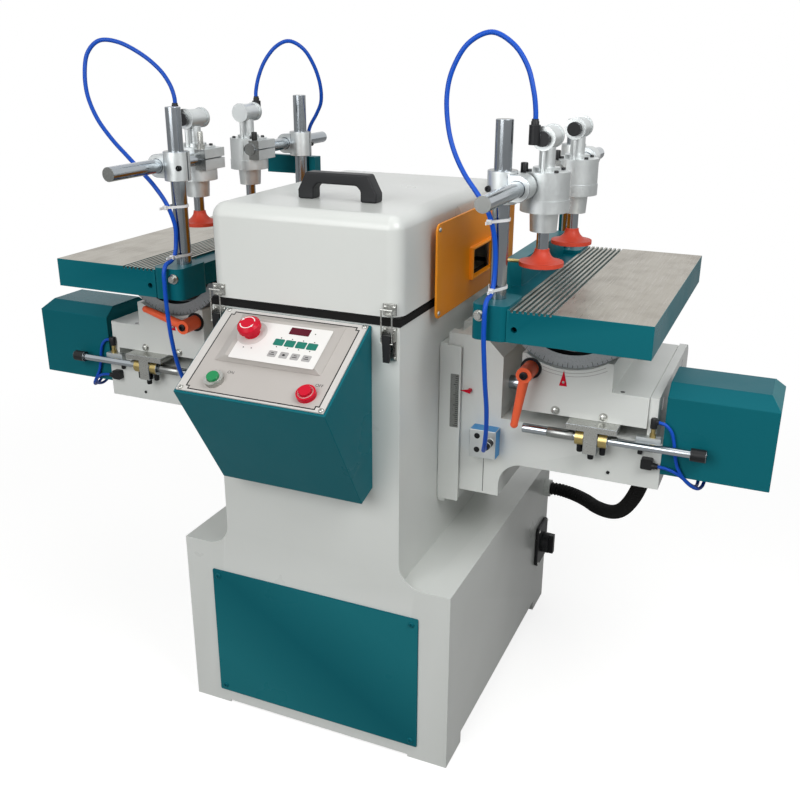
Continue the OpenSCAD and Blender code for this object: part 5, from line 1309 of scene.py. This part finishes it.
# Profiles of turned fittings, as pairs of radius and height
STUD, STUD_NUT = [(5.5, 0), (5.5, 7), (4, 7.5), (4, 20)], [(5.6, 0), (6, 1), (6, 16), (5, 18)]
UPPER_END, LOWER_END = [(4.8, 0), (5.2, 1), (5.2, 8), (4.4, 9)], [(6, 0), (6, 5), (5, 6), (5, 10)]
SOCKET, PORT_COLLAR = [(6.5, -3), (6.5, 3), (5, 4), (5, 8)], [(6.4, -2), (6.4, 5), (5.4, 6.5), (5.4, 9)]
# The drive cover's outer bevel, by its middle, its run and rise and half its length; and its inner end
BEVEL_PLACE, BEVEL_RUN, BEVEL_RISE, BEVEL_LOW, BEVEL_HIGH = (758, -74, 745), 18, 20, 70, 45
BEVEL_Y, WALL_X, WALL_T, SOCKET_UP = (-2.5, 0.2), 589, 2, 0.5
COVER_WALL = ((-140.8, 594), (-140.8, 733), (-118, 751.8), (-30, 751.8), (-7.2, 733), (-7.2, 594))
reach = math.hypot(BEVEL_RUN, BEVEL_RISE) / 2
cover_slope = [(-BEVEL_LOW, -reach), (BEVEL_LOW, -reach), (BEVEL_HIGH, reach), (-BEVEL_HIGH, reach)]
for side in SIDES:
    s, knee = sign(side), f"{side}_knee"
    stud, nut, upper, lower = mirror(s, (STUD_AT, NUT_AT, UPPER_AT, LOWER_AT))
    port, bevel = mirror(s, (PORT_AT, BEVEL_PLACE))
    sideways = (s, 0, 0)
    build(f"{side}_manifold", knee, cast_aluminium,
          (plate, KNEE, box_outline(s, *MANIFOLD), -SUNK, MANIFOLD_T))
    build(f"{side}_manifold_stud", knee, brass, (fitting, stud, UP, STUD))
    build(f"{side}_elbows", knee, black_abs,
          (fitting, nut, UP, STUD_NUT),
          (fitting, upper, sideways, UPPER_END),
          (plate, KNEE, box_outline(s, *ELBOW), -SUNK, MANIFOLD_T),
          (fitting, lower, sideways, LOWER_END),
          (plate, KNEE, box_outline(s, *STUB), -SUNK, STUB_T))
    fasten(f"{side}_manifold_screws", knee, "socket_screw", black_oxide, 3, 2,
           mirror(s, MANIFOLD_SCREWS), FRONT_OUT)
    slope = placed(bevel, (0, s, 0), (-s * BEVEL_RUN, 0, BEVEL_RISE))
    build(f"{side}_cover_bevel", knee, teal_enamel, (plate, slope, cover_slope, *BEVEL_Y))
    build(f"{side}_cover_wall", knee, teal_enamel,
          (plate, placed((s * WALL_X, 0, 0), (0, s, 0), UP), mirror(s, COVER_WALL), 0, WALL_T))
    for name, route in HOSES.items():
        line = smooth_route([mm(*p) for p in mirror(s, route)], ROUTE_STEPS)
        hose = build(f"{side}_{name}_hose", knee, blue_polyurethane, (sweep, line, HOSE_R))
        lay_cord(hose, line, HOSE_R)
    hose_ends = [route[-1] for route in HOSES.values()]
    build(f"{side}_hose_sockets", knee, black_abs,
          *[(fitting, (s * x, y, z + SOCKET_UP), DOWN, SOCKET) for x, y, z in hose_ends])
    # Black discs on the valve block: painted shade in place of two holes
    fasten(f"{side}_block_holes", f"{side}_valve_block", "disc", black_oxide, 5.5, 0.5,
           mirror(s, BLOCK_HOLE_SHADE), FRONT_OUT)
    build(f"{side}_block_collar", knee, black_abs, (fitting, port, FRONT_OUT, PORT_COLLAR))
print("knee fittings and hoses")

# %% [markdown]
# ## Saddles and tilting segments
# The saddle carries the stop rod in a plated bracket, held by bolts and black set screws, and the pointer
# that reads the table's tilt on a divided ring.

# %% Saddles
SADDLE_FRONT, POINTER_T, LINE_T, WASHER_T = -150, 0.9, 0.15, 3
SADDLE = front(SADDLE_FRONT)
TILT_POINTER, RIVET = ((410.5, 759), (417.5, 731), (403.5, 731)), (410.5, SADDLE_FRONT, 738)
# Grey lines round the seat, painted shade for its chamfer and step: radii, width, first angle, sweep and steps. The
# divided ring: its ticks by degrees
RIM_RADII, RIM_LINE, RIM_START, RIM_SWEEP, RIM_STEPS = (136, 142), 0.9, 238, 62, 24
SCALE_R, SCALE_DEGREES, SCALE_LONG, SCALE_SHORT, SCALE_SIZE = 130, range(222, 319, 4), 9, 5, (0.8, 0.15)
SLEEVE_X, SLEEVE = 392, [(8.5, 0), (9.2, 1), (9.2, 46), (8.5, 48)]
LEVER_X, LEVER_Z, HUB_FRONT, WASHER_OUT, WASHER_IN, WASHER_SIDES = 352, 756, -196, 19, 14.8, 32
# Each set of screws: its name, solid, shape and material, a head's radius and height, places, way out
SADDLE_SCREWS = (
    ("gib_screws", "saddle", "hex_bolt", zinc_steel, 6, 5,
     ((400, SADDLE_FRONT, 684), (485, SADDLE_FRONT, 684)), FRONT_OUT),
    ("set_screws", "stop_rod", "socket_screw", black_oxide, 5.5, 13,
     ((451, STOP_Y, 634), (471, STOP_Y, 623), (491, STOP_Y, 634)), DOWN),
    ("bracket_bolts", "stop_rod", "hex_bolt", zinc_steel, 5.2, 7,
     ((434, STOP_Y, 664), (508, STOP_Y, 664)), DOWN),
    # A black disc on the slab's top: painted shade where a small screw hole is
    ("slab_hole", "saddle", "disc", black_oxide, 4, 0.4, ((512, -138, 731),), UP),
)


def polar(s, radius, degrees):
    a = math.radians(degrees)
    return s * (TILT_X + radius * math.cos(a)), TABLE_TOP + radius * math.sin(a)


def rim_line(s, radius):
    """The outline of one thin grey line of painted edge shading round the seat."""
    steps = range(RIM_STEPS + 1)
    return [polar(s, radius + w, RIM_START + RIM_SWEEP * k / RIM_STEPS)
            for w, order in ((0, steps), (RIM_LINE, steps[::-1])) for k in order]


for side in SIDES:
    s, saddle = sign(side), f"{side}_saddle"
    for name, node, shape, finish, radius, height, points, out in SADDLE_SCREWS:
        fasten(f"{side}_{name}", f"{side}_{node}", shape, finish, radius, height, mirror(s, points), out)
    build(f"{side}_tilt_pointer", saddle, red_acrylic,
          (plate, SADDLE, mirror(s, TILT_POINTER), -LET_IN, POINTER_T))
    fasten(f"{side}_pointer_rivet", saddle, "pan_screw", zinc_steel, 2.6, 2, mirror(s, (RIVET,)), FRONT_OUT)
    # Grey lines round the seat: painted shading of a chamfer edge and a step edge, not print
    build(f"{side}_rim_lines", saddle, grey_print,
          *[(plate, SADDLE, rim_line(s, radius), -PRINT, LINE_T) for radius in RIM_RADII])
    build(f"{side}_rod_sleeve", saddle, turned_steel,
          (fitting, (s * SLEEVE_X, STOP_Y, STOP_Z), (s, 0, 0), SLEEVE))
    outer, inner = (circle(r, WASHER_SIDES, s * LEVER_X, LEVER_Z) for r in (WASHER_OUT, WASHER_IN))
    build(f"{side}_lever_washer", saddle, black_oxide, (band, SADDLE, outer, inner, -LET_IN, WASHER_T))
    fasten(f"{side}_hub_socket", f"{side}_clamp_lever", "socket_screw", black_oxide, 7, 4,
           [(s * LEVER_X, HUB_FRONT, LEVER_Z)], FRONT_OUT)
    ticks = []
    for k, degrees in enumerate(SCALE_DEGREES):
        long = SCALE_LONG if k % 5 == 2 else SCALE_SHORT
        x, z = polar(s, SCALE_R - long / 2, degrees)
        a = math.radians(degrees)
        ticks.append((mm(x, -SEGMENT_FRONT, z), FRONT_OUT, (s * math.cos(a), 0, math.sin(a)),
                      (long, *SCALE_SIZE)))
    set_out(f"{side}_tilt_scale", f"{side}_table", "tick", black_print, ticks)
print("saddles: pointers, scales of", len(ticks), "ticks, bolts")

# %% [markdown]
# ## Tables, posts and clamps
# White cable ties bind the tube to its post. A tie is a belt round two circles of different size, so its
# straight runs follow the lines that touch both. Socket screws pinch the cross clamps and close the
# cylinders.

# %% Ties
def belt(first, r1, second, r2, steps=16):
    """The outline of a belt round two circles."""
    (u1, v1), (u2, v2) = first, second
    heading, gap = math.atan2(v2 - v1, u2 - u1), math.hypot(u2 - u1, v2 - v1)
    touch = math.acos((r1 - r2) / gap)
    arcs = [(u1, v1, r1, touch, 2 * math.pi - touch), (u2, v2, r2, -touch, touch)]
    return [(u + r * math.cos(heading + a), v + r * math.sin(heading + a)) for u, v, r, start, end in arcs
            for a in (start + (end - start) * k / steps for k in range(steps + 1))]


TIE_T, TIE_W, TIE_HEAD_W, TIE_SLACK = 1.3, 4.6, 7.2, 0.6
# The head and the cut end of a tie: two corners from the tube's axis, and the radius at the corners
TIE_HEAD, TIE_TAIL = (-4, -11, 4, -5, 1), (-1.2, -24, 1.2, -10, 0.5)
TIES = {"right": ((302, -257, 1026), (310, -258.5, 916)),
        "left": ((-318.5, -255.5, 1005), (-310, -258.5, 915))}
POST_LOOP, TUBE_LOOP = POST_R + TIE_SLACK, TUBE_R / MM + TIE_SLACK


def tie(bm, post, x, y, z):
    """A belt round the post and the tube, its head and its cut end."""
    level = placed((0, 0, z), RIGHT, REAR_OUT)
    outer, inner = (belt(post, POST_LOOP + t, (x, y), TUBE_LOOP + t) for t in (TIE_T, 0))
    band(bm, level, outer, inner, -TIE_W / 2, TIE_W / 2)
    for (u0, v0, u1, v1, radius), width in ((TIE_HEAD, TIE_HEAD_W), (TIE_TAIL, TIE_W)):
        plate(bm, level, rounded(x + u0, y + v0, x + u1, y + v1, radius), -width / 2, width / 2)


for side, ties in TIES.items():
    build(f"{side}_cable_ties", f"{side}_table", white_nylon,
          *[(tie, (sign(side) * POST_X, -POST_Y), *place) for place in ties])

# %% Table and post screws
BOSS_X, BOSS_Y, BOSS_Z = 297, 284, 879
PINCH_X, PINCH_Y, PINCH_Z = 293, 254, 1075
for side in SIDES:
    s = sign(side)
    for end, y, out in (("front", -1, FRONT_OUT), ("rear", 1, REAR_OUT)):
        fasten(f"{side}_{end}_boss_bolts", f"{side}_table", "hex_bolt", zinc_steel, 7, 9,
               [(s * BOSS_X, y * BOSS_Y, BOSS_Z)], out)
        fasten(f"{side}_{end}_pinch_screws", f"{side}_clamp_stands", "socket_screw", black_oxide, 5, 5,
               [(s * PINCH_X, y * PINCH_Y, PINCH_Z)], out)

# %% Clamp details
CAP_SCREW_RING, CAP_TOP, LUG_X, LUG_Y, LUG_TOP = 31, 1098, 334, -24, 1095
# The left front lug has a long hexagon bolt, the other ones have a socket screw
LUG_BOLT, LUG_SCREW = ("hex_bolt", zinc_steel, 6, 30), ("socket_screw", black_oxide, 6, 14)
for corner in CORNERS:
    s, y, body = sign(corner.split("_")[0]), CYLINDER_Y[corner], f"{corner}_clamp"
    fasten(f"{corner}_cap_screws", body, "socket_screw", black_oxide, 3.6, 3.6,
           [(s * CYLINDER_X + CAP_SCREW_RING * math.cos(a), y + CAP_SCREW_RING * math.sin(a), CAP_TOP)
            for a in (math.radians(45 + 90 * k) for k in range(4))], UP)
    fasten(f"{corner}_lug_bolt", body, *(LUG_BOLT if corner == "left_front" else LUG_SCREW),
           [(s * LUG_X, y + LUG_Y, LUG_TOP)], UP)
    if corner in ROUTES:
        build(f"{corner}_port_collar", body, black_abs, (fitting, ROUTES[corner][0], UP, PORT_COLLAR))
for shape in SHAPES.values():
    bpy.data.objects.remove(shape)
print("pieces in all:", len(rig.pieces()))

# %% [markdown]
# ## Write down the size and close the lesson
# Both boxes, of the bare solids and of the dressed machine, are written down, and their sizes printed.

# %% Finish
dressed_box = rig.bounds()
with open("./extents.json", "w") as file:
    json.dump({"cad": [list(c) for c in cad_box], "visual": [list(c) for c in dressed_box]}, file)
print("size:", [round(b - a, 4) for a, b in zip(*cad_box)], [round(b - a, 4) for a, b in zip(*dressed_box)])
